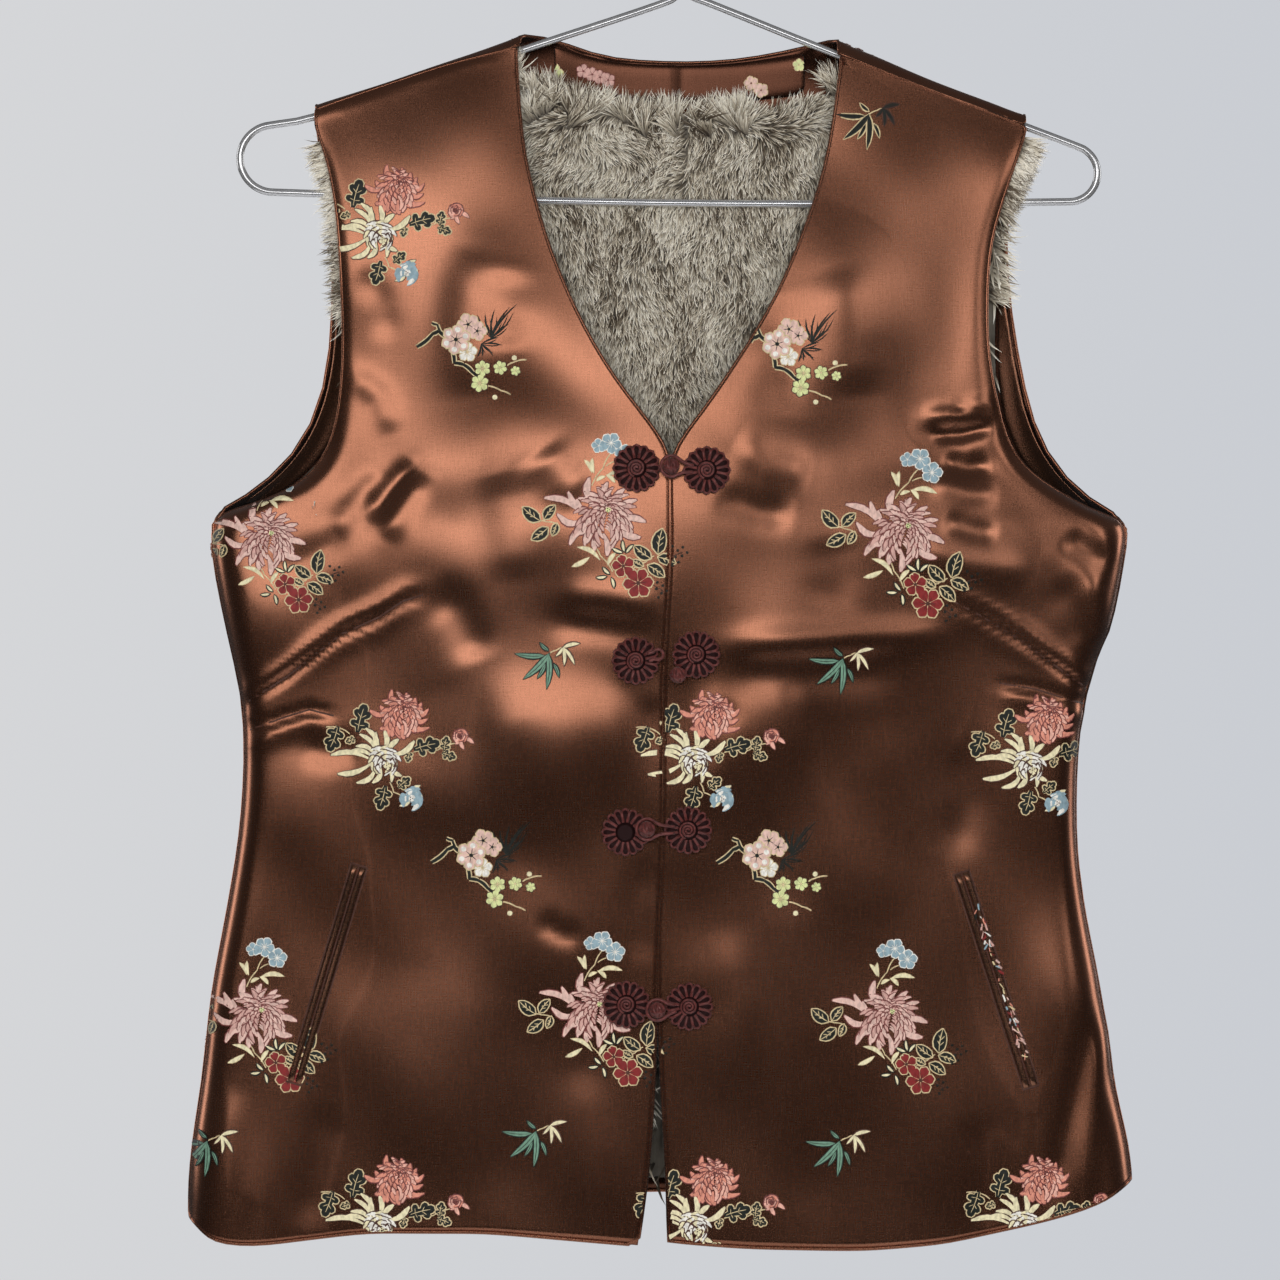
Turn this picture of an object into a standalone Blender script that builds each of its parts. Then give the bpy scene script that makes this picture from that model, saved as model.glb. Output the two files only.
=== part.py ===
"""Brocade waistcoat with a fur lining and flower frogs, hanging on a wire hanger.

Every size below is in millimetres and the meshes are made in metres. X runs to the
viewer's right, Z up, and the front of the waistcoat faces -Y. The origin is the point
under the top of the hook where a rail carries the hanger. Left and right are the
viewer's, so the left front lies at -X.
"""

import math
from collections import namedtuple

import bmesh
import bpy
import numpy as np
from mathutils import Matrix, Vector
from mathutils.bvhtree import BVHTree

MM = 0.001
SHARP_ANGLE = 50  # edges bent by more degrees than this are shaded sharp

# Cloth and sewing
SATIN = 1.5  # thickness of the satin with its interlining
SEAM = 0.3  # gap between two pieces that are sewn together
FACING = 1.2  # thickness of facings and welts
FUR_CLEAR = 2.0  # from satin to lining below the shoulders, which takes up the folds
FUR_EDGE = 2.6  # thickness of the lining where it is pressed flat along an edge
HEM_TURN = 7.0  # the lining ends this far above the hem
EDGE_TURN = 2.0  # and this far from the free edges of the fronts
LINING_SEAM = 0.3  # and this share of the last step before the shoulder seam
NECK_TURN = 0.25  # and this share of a step below the neck facing
NECK_CLEAR = 0.008  # and this share of the back's width outside the neck points
BACK_TAPER = 0.16  # share of the back's width over which its lining thins to the edges
FRONT_TAPER = 0.32  # and of a front's width
ARM_START = 2.5  # the lining starts to thin this many sections before the shoulders
ARM_TAPER = 2.0  # and is pressed flat within this many

# Frogs
FLOWER = 12.0  # radius of a flower
PETALS = 16
KNOT = 4.0  # radius of a knot
CORD = 1.0  # radius of the frog cord
LOOP_HEIGHT = 5.6  # the loops lie this high above the cloth, over the petals

# Hanger
WIRE = 1.9  # radius of the wire
HOOK = 18.0  # inner radius of the hook
WIRE_CLEAR = 2.5  # from the arm's middle to the lining that rests on it
SLOPE_SHARE = 0.92  # of the ridge's height that is left square to the sloping arm

# Colours and finish of the satin, the fur, the frogs and the wire
MATERIALS = {
    "satin": ((0.24, 0.13, 0.085, 1.0), 0.38, 0.0),
    "facing": ((0.22, 0.13, 0.09, 1.0), 0.42, 0.0),
    "fur": ((0.24, 0.20, 0.15, 1.0), 0.95, 0.0),
    "frog": ((0.09, 0.022, 0.02, 1.0), 0.45, 0.0),
    "chrome": ((0.62, 0.62, 0.63, 1.0), 0.14, 1.0),
}

# One section of a front from the side seam or armhole (outer) to the front edge (inner).
# depth is how far the cloth lies in front of the hanger, turn the radius of its outer edge,
# fur the thickness of the lining in the middle of the section.
Front = namedtuple(
    "Front", "outer_x outer_z outer_depth inner_x inner_z inner_depth turn fur"
)
LEFT_FRONT = [
    Front(-244.5, -663, 0.2, -24.5, -676, 24, 14, 6),
    Front(-244.5, -645, 0.2, -20.0, -645, 24, 14, 7),
    Front(-238.0, -591, 0.2, -16.2, -591, 25, 14, 8),
    Front(-229.0, -532, 0.2, -15.2, -536, 26, 14, 8),
    Front(-219.5, -474, 0.2, -12.7, -482, 27, 14, 8),
    Front(-217.0, -440, 0.2, -12.3, -450, 28, 14, 8),
    Front(-218.0, -412, 0.2, -12.2, -424, 29, 14, 8),
    Front(-226.5, -372, 0.2, -12.0, -392, 31, 14, 8),
    Front(-233.5, -338, 0.2, -9.5, -360, 33, 14, 8),
    Front(-234.5, -319, 0.2, -8.8, -337, 33, 14, 8),
    Front(-214.0, -314, 3.5, -9.0, -319, 33, 14, 8),
    Front(-194.5, -307, 6.5, -9.2, -303, 32, 14, 8),
    Front(-180.5, -296, 9.0, -9.0, -289, 31, 14, 8),
    Front(-173.0, -281, 10.5, -19.5, -274, 30, 14, 8),
    Front(-169.5, -261, 11.5, -33.5, -257, 29, 14, 8),
    Front(-168.5, -233, 12.0, -48.5, -233, 27, 14, 8),
    Front(-169.0, -205, 12.0, -60.0, -209, 24, 14, 7),
    Front(-170.5, -178, 11.5, -69.0, -186, 21, 13, 6),
    Front(-174.0, -157, 10.5, -76.5, -160, 17.5, 12, 5),
    Front(-178.0, -141, 8.8, -81.5, -136, 13.5, 10, 3.5),
]
RIGHT_FRONT = [
    Front(217.0, -645, 0.2, -9.5, -674, 24, 14, 6),
    Front(216.0, -628, 0.2, -10.0, -645, 24, 14, 7),
    Front(208.0, -591, 0.2, -13.2, -591, 25, 14, 8),
    Front(197.5, -532, 0.2, -14.7, -536, 26, 14, 8),
    Front(190.0, -474, 0.2, -12.2, -482, 27, 14, 8),
    Front(190.0, -440, 0.2, -11.8, -450, 28, 14, 8),
    Front(193.5, -412, 0.2, -11.7, -424, 29, 14, 8),
    Front(206.0, -372, 0.2, -11.5, -392, 31, 14, 8),
    Front(214.5, -338, 0.2, -9.0, -360, 33, 14, 8),
    Front(217.5, -322, 0.2, -8.3, -337, 33, 14, 8),
    Front(200.0, -318, 3.5, -8.5, -319, 33, 14, 8),
    Front(179.5, -307, 6.5, -8.7, -303, 32, 14, 8),
    Front(164.0, -296, 9.0, -8.2, -289, 31, 14, 8),
    Front(155.5, -283, 10.5, 7.0, -270, 30, 14, 8),
    Front(150.5, -265, 11.5, 20.0, -251, 29, 14, 8),
    Front(146.5, -243, 12.0, 32.5, -232, 27, 14, 8),
    Front(146.0, -217, 12.0, 44.5, -211, 24, 14, 7),
    Front(147.5, -190, 11.5, 55.0, -186, 21, 13, 6),
    Front(152.0, -172, 10.5, 63.5, -163, 17.5, 12, 5),
    Front(158.5, -151, 8.8, 70.0, -138, 13.5, 10, 3.5),
]

# One section of the back, from side seam to side seam or armhole to armhole. depth is how
# far the cloth lies behind the hanger, inset how far the lining stays off the armholes,
# spread how far the columns have moved towards the shoulder and neck points.
Back = namedtuple(
    "Back", "left_x left_z right_x right_z edge_depth depth turn fur inset spread"
)
BACK = [
    Back(-244.0, -663, 216.5, -645, 0.2, 22.0, 14, 6, 0, 0.0),
    Back(-244.5, -645, 216.0, -628, 0.2, 22.0, 14, 7, 0, 0.0),
    Back(-238.0, -591, 208.0, -591, 0.2, 22.0, 14, 8, 0, 0.0),
    Back(-229.0, -532, 197.5, -532, 0.2, 21.0, 14, 8, 0, 0.0),
    Back(-219.5, -474, 190.0, -474, 0.2, 20.0, 14, 8, 0, 0.0),
    Back(-217.0, -440, 190.0, -440, 0.2, 20.0, 14, 8, 0, 0.0),
    Back(-218.0, -412, 193.5, -412, 0.2, 20.0, 14, 8, 0, 0.0),
    Back(-226.5, -372, 206.0, -372, 0.2, 20.5, 14, 8, 0, 0.0),
    Back(-233.5, -338, 214.5, -338, 0.2, 21.0, 14, 8, 0, 0.0),
    Back(-234.5, -319, 217.5, -322, 0.2, 21.0, 14, 8, 0, 0.0),
    Back(-221.0, -312, 201.0, -314, 3.5, 21.0, 14, 8, 22, 0.1),
    Back(-206.0, -302, 186.0, -302, 6.5, 20.5, 14, 8, 22, 0.2),
    Back(-190.5, -286, 173.5, -284, 9.0, 20.0, 14, 8, 22, 0.3),
    Back(-180.0, -264, 166.5, -264, 10.5, 19.5, 14, 8, 20, 0.4),
    Back(-175.5, -238, 161.5, -239, 11.5, 19.0, 14, 8, 16, 0.5),
    Back(-174.0, -210, 158.0, -214, 11.5, 18.0, 14, 8, 8, 0.65),
    Back(-174.0, -185, 156.5, -190, 11.0, 17.0, 13, 7, 3, 0.8),
    Back(-175.5, -163, 156.8, -168, 10.0, 16.0, 12, 7, 2, 0.9),
    Back(-180.0, -142, 160.5, -147, 8.4, 14.0, 9.5, 6, 2, 1.0),
]

# The shoulders: ridge is the radius of the cloth over the hanger's arm, seam the angle
# from the top of the ridge, forwards, at which the back is sewn to the front.
Shoulder = namedtuple("Shoulder", "x ridge seam")
SHOULDERS = [
    Shoulder(-183, 7.0, 50),
    Shoulder(-150, 6.6, 38),
    Shoulder(-122, 6.4, 38),
    Shoulder(-83, 8.0, 78),
    Shoulder(75, 8.6, 88),
    Shoulder(114, 6.6, 88),
    Shoulder(166, 5.8, 88),
]
SHOULDER_X = {"left": (-182.0, -84.0), "right": (165.0, 75.0)}  # tip and neck point
NECK_X = (-82.5, 74.0)  # neck points of the back
NECK_BLEND = 15.0  # the back leaves the arm within this width
FALL_ANGLE = 130  # the straight cloth below the ridge starts at this angle from the top
FALL_LEAN = 0.1  # below the ridge the cloth leans out by this share of its fall
SEAM_ANGLE = 2.6  # half of the gap at the shoulder seam, as an angle

# The back neckline between the neck points
Neck = namedtuple("Neck", "x depth z")
NECKLINE = [
    Neck(-82.5, 0.0, -84.0),
    Neck(-66.0, 8.0, -85.5),
    Neck(-49.0, 10.5, -93.0),
    Neck(-34.5, 11.5, -96.0),
    Neck(-9.0, 12.0, -97.5),
    Neck(15.5, 12.0, -97.0),
    Neck(30.0, 11.5, -95.5),
    Neck(51.5, 10.0, -91.5),
    Neck(62.0, 8.0, -89.0),
    Neck(74.0, 0.0, -86.0),
]

# How far the hem hangs below a straight line, by share of the way from the front edge
# to the side seam, and for the back from left to right
LEFT_HEM = [(0, 0), (0.33, -2), (0.6, 1.5), (0.86, 12), (0.94, 11.5), (1, 0)]
RIGHT_HEM = [(0, 0), (0.15, 7.4), (0.42, 16.6), (0.6, 18.4), (0.8, 14.4), (0.92, 11), (1, 0)]
BACK_HEM = [(0, 0), (0.08, 7), (0.3, -3), (0.5, -2), (0.75, 4), (0.92, 6), (1, 0)]
HEM_FADE = 110.0  # height over which the hem's curve dies out

# Main folds as soft ridges (height above 0) and troughs (below 0) between two points
Fold = namedtuple("Fold", "x0 z0 x1 z1 width height")
LEFT_FOLDS = [
    Fold(-205, -395, -140, -360, 11, -1.3),
    Fold(-205, -375, -150, -342, 14, 2.2),
    Fold(-140, -298, -158, -325, 12, -1.3),
    Fold(-118, -345, -100, -395, 16, 2.6),
    Fold(-90, -205, -92, -240, 14, 2.0),
    Fold(-70, -300, -60, -330, 14, 2.2),
    Fold(-75, -425, -70, -540, 20, 2.0),
    Fold(-195, -432, -170, -436, 12, 1.6),
    Fold(-120, -560, -128, -670, 26, 3.0),
    Fold(-200, -610, -212, -672, 20, 2.6),
]
RIGHT_FOLDS = [
    Fold(195, -395, 125, -362, 11, -1.3),
    Fold(200, -378, 140, -345, 14, 2.2),
    Fold(118, -270, 150, -276, 10, 1.8),
    Fold(112, -286, 150, -284, 9, -1.3),
    Fold(120, -300, 148, -330, 12, 1.8),
    Fold(185, -335, 205, -345, 10, 1.6),
    Fold(20, -384, 128, -384, 13, 2.4),
    Fold(60, -470, 66, -600, 22, 2.2),
    Fold(110, -560, 122, -676, 24, 3.0),
    Fold(183, -560, 172, -660, 16, 2.8),
]
BACK_FOLDS = [
    Fold(-120, -150, -150, -300, 18, 2.4),
    Fold(105, -150, 135, -300, 18, 2.4),
    Fold(-200, -380, -90, -350, 16, 2.0),
    Fold(180, -385, 80, -352, 16, 2.0),
    Fold(-60, -420, -70, -640, 26, 2.8),
    Fold(50, -440, 60, -640, 24, 2.6),
    Fold(-170, -500, -185, -655, 24, 2.6),
    Fold(140, -510, 155, -640, 22, 2.4),
]

# Columns of the grids: the turned side has narrow ones
SIDE_TURN = 0.094  # share of a front's section that turns round the side
BACK_TURN = 0.047  # share of the back's section that turns round one side
SIDE_COLUMNS = 3
FRONT_COLUMNS = 11
FRONT_WIDTH = 220.0  # about the width of a front
SHOULDER_COLUMNS = 5
NECK_COLUMNS = 10
INNER_SHARE = (1 - 2 * BACK_TURN) / (2 * SHOULDER_COLUMNS + NECK_COLUMNS)
NECK_COLUMN = (
    BACK_TURN + SHOULDER_COLUMNS * INNER_SHARE,
    1 - BACK_TURN - SHOULDER_COLUMNS * INNER_SHARE,
)
ROW_STEP = 34.0  # rows of the satin are at most about this far apart
SAME = 0.001  # shares closer than this are one column

# Facings
FACING_START = 0.9  # the neck facing starts about this many columns inside the neck points
FACING_CLEAR = 0.7  # between a facing and the satin that it is sewn to
FACED_INSET = 5  # the armholes are faced where the lining is set in by more than this
FACED_SEAM = 1.6  # between an armhole facing's inner edge and the lining
FACED_SHARES = (0.03, 0.33, 0.67, 1.0)  # an armhole facing's columns, from the edge in
NECK_FOOT = 0.2  # the neck facing starts this share of a section above the arms' foot

# Pocket mouths, top and bottom
Pocket = namedtuple("Pocket", "top_x top_z bottom_x bottom_z")
POCKETS = {
    "left": Pocket(-160.5, -491.0, -192.5, -597.5),
    "right": Pocket(133.5, -494.5, 167.5, -599.5),
}
WELT = 3.4  # width of a welt
WELT_ROWS = 10
LAID_LIFT = 0.45  # what is laid on the satin starts this far above it
VIEW_START = -200.0  # a line that looks for the cloth starts this far in front

# The four frogs from the top: centres of both flowers and of the knot. height is that of
# the knot's middle above the cloth, loop_from the flower that holds the loop.
Frog = namedtuple("Frog", "left_x left_z right_x right_z knot_x knot_z height loop_from")
FROGS = [
    Frog(-25.0, -297.5, 9.0, -298.5, -8.2, -296.5, 5.6, "right"),
    Frog(-25.5, -391.0, 4.0, -388.0, -5.0, -398.0, 7.2, "left"),
    Frog(-30.5, -474.5, 0.0, -473.5, -20.0, -473.0, 8.4, "right"),
    Frog(-30.0, -558.5, 0.5, -559.5, -15.0, -561.0, 6.0, "right"),
]
OPEN_LOOP_X = -11.0  # the second loop is not over its knot and ends here
OPEN_EYE = 2.6  # radius of that loop's end
LOOP_ROOT = 6.2  # a loop starts this far from its flower's middle
LOOP_HALF = 1.6  # half the distance between its two strands
LOOP_SPREAD = 1.2  # which part by this factor at the eye
LOOP_OPENING = 38  # degrees left open on the flower's side
LOOP_STEPS = 10
GAP_STEP = 0.9  # a step sideways that leaves the gap between the fronts
FLOWER_HEIGHTS = ((FLOWER, 1.2), (9.0, 3.6), (4.8, 2.2), (3.6, 4.8))  # radius, height
PETAL_DEPTH = 0.09  # depth of the notches between petals, as a share of the radius

# Middle line of the hanger's wire
ARM_LEFT = [(-9.8, -68.4), (-82.0, -92.0), (-183.0, -125.5)]
ARM_RIGHT = [(9.8, -68.4), (73.3, -94.3), (166.0, -129.5)]
END_LOOP_LEFT = (-203.0, -145.0, 16.5)  # centre and radius
END_LOOP_RIGHT = (187.0, -152.3, 13.9)
HOOK_TURN = (205, -50, 17)  # first and last angle of an arc, and its steps
LEFT_TURN = (270, 100, 10)
RIGHT_TURN = (65, -90, 9)
BAR = [(100.0, -167.2), (0.0, -167.0), (-100.0, -164.9)]
HOOK_FOOT = [(8.0, -37.2), (3.0, -40.8), (0.5, -44.0), (0.0, -47.0)]
STEM_FOOT = -62.5
APEX_RIGHT = [(0.8, -64.6), (3.6, -66.4)]
APEX_LEFT = (-6.0, -65.6)
TWIST_SHARE = 0.12  # where the twist begins, as a share of the left arm's first length
TWIST_FOOT = -61.5
TWIST_TOP = -47.5
TWIST_TURNS = 3
TWIST_STEPS = 10


# Small helpers

def smooth(share):
    """Ease from 0 to 1 with level ends."""
    share = np.clip(share, 0.0, 1.0)
    return share * share * (3.0 - 2.0 * share)


def material(name):
    """The material of that name, made the first time it is asked for."""
    found = bpy.data.materials.get(name)
    if found:
        return found
    colour, roughness, metallic = MATERIALS[name]
    made = bpy.data.materials.new(name)
    made.use_nodes = True
    shader = made.node_tree.nodes["Principled BSDF"]
    shader.inputs["Base Color"].default_value = colour
    shader.inputs["Roughness"].default_value = roughness
    shader.inputs["Metallic"].default_value = metallic
    made.diffuse_color = colour
    return made


def add_object(name, data, material_name):
    """Link an object to the waistcoat's collection with its own copy of a material."""
    made = bpy.data.objects.new(name, data)
    own = material(material_name).copy()
    own.name = name
    data.materials.append(own)
    collection.objects.link(made)
    return made


def mesh_object(name, bm, material_name):
    """Finish a bmesh in millimetres as a smooth-shaded object in metres."""
    bmesh.ops.scale(bm, vec=(MM, MM, MM), verts=bm.verts)
    bmesh.ops.recalc_face_normals(bm, faces=bm.faces)
    mesh = bpy.data.meshes.new(name)
    bm.to_mesh(mesh)
    bm.free()
    mesh.shade_smooth()
    mesh.set_sharp_from_angle(angle=math.radians(SHARP_ANGLE))
    return add_object(name, mesh, material_name)


def wall(name, front_face, back_face, material_name, kept=None):
    """A closed wall between two grids of points, with the cells that kept allows."""
    rows, columns = front_face.shape[0] - 1, front_face.shape[1] - 1
    bm = bmesh.new()
    bmesh.ops.create_grid(bm, x_segments=columns, y_segments=rows, size=0.5)

    def cell(co):
        return round((co.y + 0.5) * rows), round((co.x + 0.5) * columns)

    if kept is not None:
        middles = [(face, face.calc_center_median()) for face in bm.faces]
        lost = [
            face
            for face, middle in middles
            if not kept(int((middle.y + 0.5) * rows), int((middle.x + 0.5) * columns))
        ]
        bmesh.ops.delete(bm, geom=lost, context="FACES")
    first = [(vert, cell(vert.co)) for vert in bm.verts]
    grown = bmesh.ops.extrude_face_region(bm, geom=bm.faces[:], use_keep_orig=True)
    second = [
        (vert, cell(vert.co)) for vert in grown["geom"] if isinstance(vert, bmesh.types.BMVert)
    ]
    for vert, place in first:
        vert.co = Vector(front_face[place])
    for vert, place in second:
        vert.co = Vector(back_face[place])
    return mesh_object(name, bm, material_name)


# The hanger's arms and the cloth over them

ARM_X, ARM_Z = zip(*(ARM_LEFT[::-1] + ARM_RIGHT))
RIDGE_X = [row.x for row in SHOULDERS]


def over_arm(x, angle):
    """Points of the cloth over the hanger's arm. angle runs from the top of the ridge,
    positive to the front and negative to the back, and past 90 the cloth falls straight."""
    ridge = np.interp(x, RIDGE_X, [row.ridge for row in SHOULDERS])
    turned = np.radians(np.clip(np.abs(angle), 0, 90))
    straight = np.radians(np.maximum(np.abs(angle) - 90, 0))
    depth = -np.sign(angle) * ridge * (np.sin(turned) + FALL_LEAN * straight)
    height = np.interp(x, ARM_X, ARM_Z) + ridge * (np.cos(turned) - straight)
    return np.stack([x, depth, height], axis=-1)


def seam_angle(x):
    """Angle of the shoulder seam at x."""
    return np.interp(x, RIDGE_X, [row.seam for row in SHOULDERS])


# Sections and the surfaces through them

SAMPLES = 601  # points of a section, spread evenly by length
FINE = 4 * SAMPLES  # points before they are spread


def turned_edge(distance, edge_depth, radius):
    """Depth of cloth that curls in at an edge, at a distance from that edge."""
    hidden = radius - math.sqrt(radius**2 - edge_depth**2)
    inside = np.minimum(distance + hidden, radius)
    return np.sqrt(radius**2 - (radius - inside) ** 2), radius - hidden


def by_length(points, shares):
    """Points at given shares of a line's length."""
    steps = np.linalg.norm(np.diff(points, axis=0), axis=1)
    length = np.concatenate([[0.0], np.cumsum(steps)])
    wanted = np.asarray(shares) * length[-1]
    return np.stack([np.interp(wanted, length, points[:, k]) for k in range(3)], axis=-1)


def front_section(row):
    """One section of a front, from its front edge to its outer edge."""
    share = np.cos(np.linspace(0.0, math.pi / 2, FINE))
    width = abs(row.outer_x - row.inner_x)
    x = row.outer_x + (row.inner_x - row.outer_x) * (1.0 - np.sin(np.arccos(share)))
    distance = np.abs(row.outer_x - x)
    edge, start = turned_edge(distance, row.outer_depth, row.turn)
    belly = np.sin(0.5 * math.pi * np.clip((distance - start) / (width - start), 0, 1)) ** 2
    depth = edge + (row.inner_depth - row.turn) * belly
    z = row.outer_z + (row.inner_z - row.outer_z) * distance / width
    return by_length(np.stack([x, -depth, z], axis=-1), np.linspace(0, 1, SAMPLES))


def front_top(side, angle_share):
    """A line of a front over the hanger's arm, between the straight cloth and the seam."""
    tip, neck = SHOULDER_X[side]
    x = np.linspace(neck, tip, SAMPLES)
    seam = seam_angle(x) + SEAM_ANGLE
    return over_arm(x, seam + (FALL_ANGLE - seam) * (1.0 - angle_share))


def back_section(row):
    """One section of the back, from left to right."""
    share = 0.5 * (1.0 - np.cos(np.linspace(0.0, math.pi, FINE)))
    width = row.right_x - row.left_x
    x = row.left_x + width * share
    distance = np.minimum(x - row.left_x, row.right_x - x)
    edge, start = turned_edge(distance, row.edge_depth, row.turn)
    belly = np.sin(0.5 * math.pi * np.clip((distance - start) / (width / 2 - start), 0, 1)) ** 2
    depth = edge + (row.depth - row.turn) * belly
    z = row.left_z + (row.right_z - row.left_z) * share
    line = np.stack([x, depth, z], axis=-1)
    steps = np.linalg.norm(np.diff(line, axis=0), axis=1)
    length = np.concatenate([[0.0], np.cumsum(steps)]) / np.sum(steps)
    neck = np.interp(NECK_X, x, length)
    even = np.linspace(0, 1, SAMPLES)
    moved = np.interp(even, [0, NECK_COLUMN[0], NECK_COLUMN[1], 1], [0, *neck, 1])
    return by_length(line, even + (moved - even) * row.spread)


def back_top(angle, neck_share, below):
    """A line of the back at an angle over the arms and, between the neck points, at a
    share of the way from the section below to the neckline."""
    even = np.linspace(0, 1, SAMPLES)
    tips = [SHOULDER_X["left"][0], *NECK_X, SHOULDER_X["right"][0]]
    x = np.interp(even, [0, NECK_COLUMN[0], NECK_COLUMN[1], 1], tips)
    line = over_arm(x, np.full(SAMPLES, float(angle)))
    between = (even > NECK_COLUMN[0]) & (even < NECK_COLUMN[1])
    neck_x = [point.x for point in NECKLINE]
    depth = np.interp(x, neck_x, [point.depth for point in NECKLINE])
    height = np.interp(x, neck_x, [point.z for point in NECKLINE])
    neckline = np.stack([x, depth, height], axis=-1)
    fallen = below + (neckline - below) * neck_share
    inside = np.minimum(x - NECK_X[0], NECK_X[1] - x)
    mix = smooth(inside / NECK_BLEND)[:, None]
    line[between] = (line + (fallen - line) * mix)[between]
    return line


class Panel:
    """A cloth surface through a stack of sections, each an array of points."""

    def __init__(self, sections, hem, folds, both_turned):
        self.sections = np.array(sections)
        gaps = np.linalg.norm(np.diff(self.sections, axis=0), axis=2).mean(axis=1)
        self.height = np.concatenate([[0.0], np.cumsum(gaps)])
        self.folds = folds
        self.both_turned = both_turned
        self.drop_hem(hem)
        self.outward = 1.0
        middle = self.normal(np.array([0.5]), np.array([2.0]))[0]
        self.outward = math.copysign(1.0, middle[1] * self.sections[2, SAMPLES // 2, 1])

    def drop_hem(self, hem):
        """Lower the bottom sections by the hem's curve, less and less upwards."""
        width = self.sections[0, :, 0]
        share = (width - width[0]) / (width[-1] - width[0])
        drop = np.interp(share, *zip(*hem))
        for section in self.sections:
            up = np.mean(section[:, 2] - self.sections[0, :, 2])
            section[:, 2] -= drop * (1.0 - smooth(max(up, 0.0) / HEM_FADE))

    def base(self, across, up):
        """Points of the plain surface at shares across and section numbers up."""
        lower = np.clip(np.floor(up).astype(int), 0, len(self.sections) - 2)
        share = (up - lower)[..., None]
        place = across * (SAMPLES - 1)
        column = np.clip(np.floor(place).astype(int), 0, SAMPLES - 2)
        mix = (place - column)[..., None]

        def read(number):
            near, far = self.sections[number, column], self.sections[number, column + 1]
            return near + (far - near) * mix

        last = len(self.sections) - 1

        def slope(number):
            before, after = np.maximum(number - 1, 0), np.minimum(number + 1, last)
            rise = (self.height[after] - self.height[before])[..., None]
            return (read(after) - read(before)) / rise

        step = (self.height[lower + 1] - self.height[lower])[..., None]
        p0, p1 = read(lower), read(lower + 1)
        m0, m1 = slope(lower) * step, slope(lower + 1) * step
        s2, s3 = share**2, share**3
        return (
            p0 * (2 * s3 - 3 * s2 + 1)
            + m0 * (s3 - 2 * s2 + share)
            + p1 * (3 * s2 - 2 * s3)
            + m1 * (s3 - s2)
        )

    def normal(self, across, up):
        """Unit vectors that point away from the wearer."""
        step, half_row = 0.003, 0.04

        def run(middle):
            return self.base(middle + step, up) - self.base(middle - step, up)

        near = run(np.clip(across, step, 1 - step))
        along = 2 * near - run(np.clip(across, 2 * step, 1 - 2 * step))
        along = np.where(((across < step) | (across > 1 - step))[..., None], along, near)
        low = np.clip(up - half_row, 0, None)
        high = np.clip(up + half_row, None, len(self.sections) - 1)
        rise = self.base(across, high) - self.base(across, low)
        found = np.cross(along, rise) * self.outward
        return found / np.linalg.norm(found, axis=-1, keepdims=True)

    def fold(self, points):
        """Height of the folds above the plain surface at points."""
        total = np.zeros(points.shape[:-1])
        for row in self.folds:
            start = np.array([row.x0, row.z0])
            line = np.array([row.x1, row.z1]) - start
            offset = points[..., [0, 2]] - start
            share = (offset @ line) / (line @ line)
            near = np.clip(share, 0, 1)[..., None] * line
            away = np.linalg.norm(offset - near, axis=-1) / row.width
            total += row.height * np.exp(-(away**2))
        return total

    def grid(self, across, up, lift):
        """A grid of points of the folded cloth, moved out by lift."""
        columns, rows = np.meshgrid(across, up)
        points = self.base(columns, rows)
        rise = self.fold(points) + lift
        return points + self.normal(columns, rows) * rise[..., None]


def row_places(panel, top, step):
    """Section numbers for a grid's rows, with one between sections that lie far apart."""
    places = [0.0]
    for number in range(1, top + 1):
        if panel.height[number] - panel.height[number - 1] > step:
            places.append(number - 0.5)
        places.append(float(number))
    return np.array(places)


def ridge_fur(x):
    """Thickness of the lining between the satin and the hanger's arm."""
    ridge = np.interp(x, RIDGE_X, [row.ridge for row in SHOULDERS])
    return SLOPE_SHARE * ridge - SATIN - SEAM - WIRE_CLEAR


def lining_faces(panel, across, rows, table):
    """Both faces of a lining at whole section numbers."""
    points = panel.base(across, rows)
    normals = panel.normal(across, rows)
    arm = smooth((rows - len(table) + ARM_START) / ARM_TAPER)
    if panel.both_turned:
        inside = np.minimum(across - NECK_COLUMN[0], NECK_COLUMN[1] - across)
        arm = arm * (1 - smooth(inside / INNER_SHARE))
        edge = smooth(np.minimum(across, 1 - across) / BACK_TAPER)
    else:
        edge = smooth((1 - across) / FRONT_TAPER)
    middle = np.interp(rows, np.arange(len(table)), [row.fur for row in table])
    thick = FUR_EDGE + (middle - FUR_EDGE) * edge
    thick = thick * (1 - arm) + ridge_fur(points[..., 0]) * arm
    clear = SATIN + FUR_CLEAR * (1 - arm) + SEAM * arm
    outer = points - normals * clear[..., None]
    return np.stack([outer, outer - normals * thick[..., None]])


def lay_lining(name, panel, across, up, table, kept=None):
    """The fur lining of a panel, thick in the middle and pressed flat along its edges and
    over the hanger's arm. across holds one row of shares for each row of the grid, and a
    row between two sections lies on the flat facets between them."""
    lower = np.broadcast_to(np.floor(up)[:, None], across.shape)
    share = (up - np.floor(up))[:, None, None]
    faces = lining_faces(panel, across, lower, table)
    above = lining_faces(panel, across, lower + 1, table)
    outer, inner = faces + (above - faces) * share
    return wall(name, outer, inner, "fur", kept)


# Fronts

# Lines of a front over the arm, up to the seam at 1, and one past it for the slope there
ARM_ROWS = (0.0, 1 / 3, 2 / 3, 1.0, 4 / 3)


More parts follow.
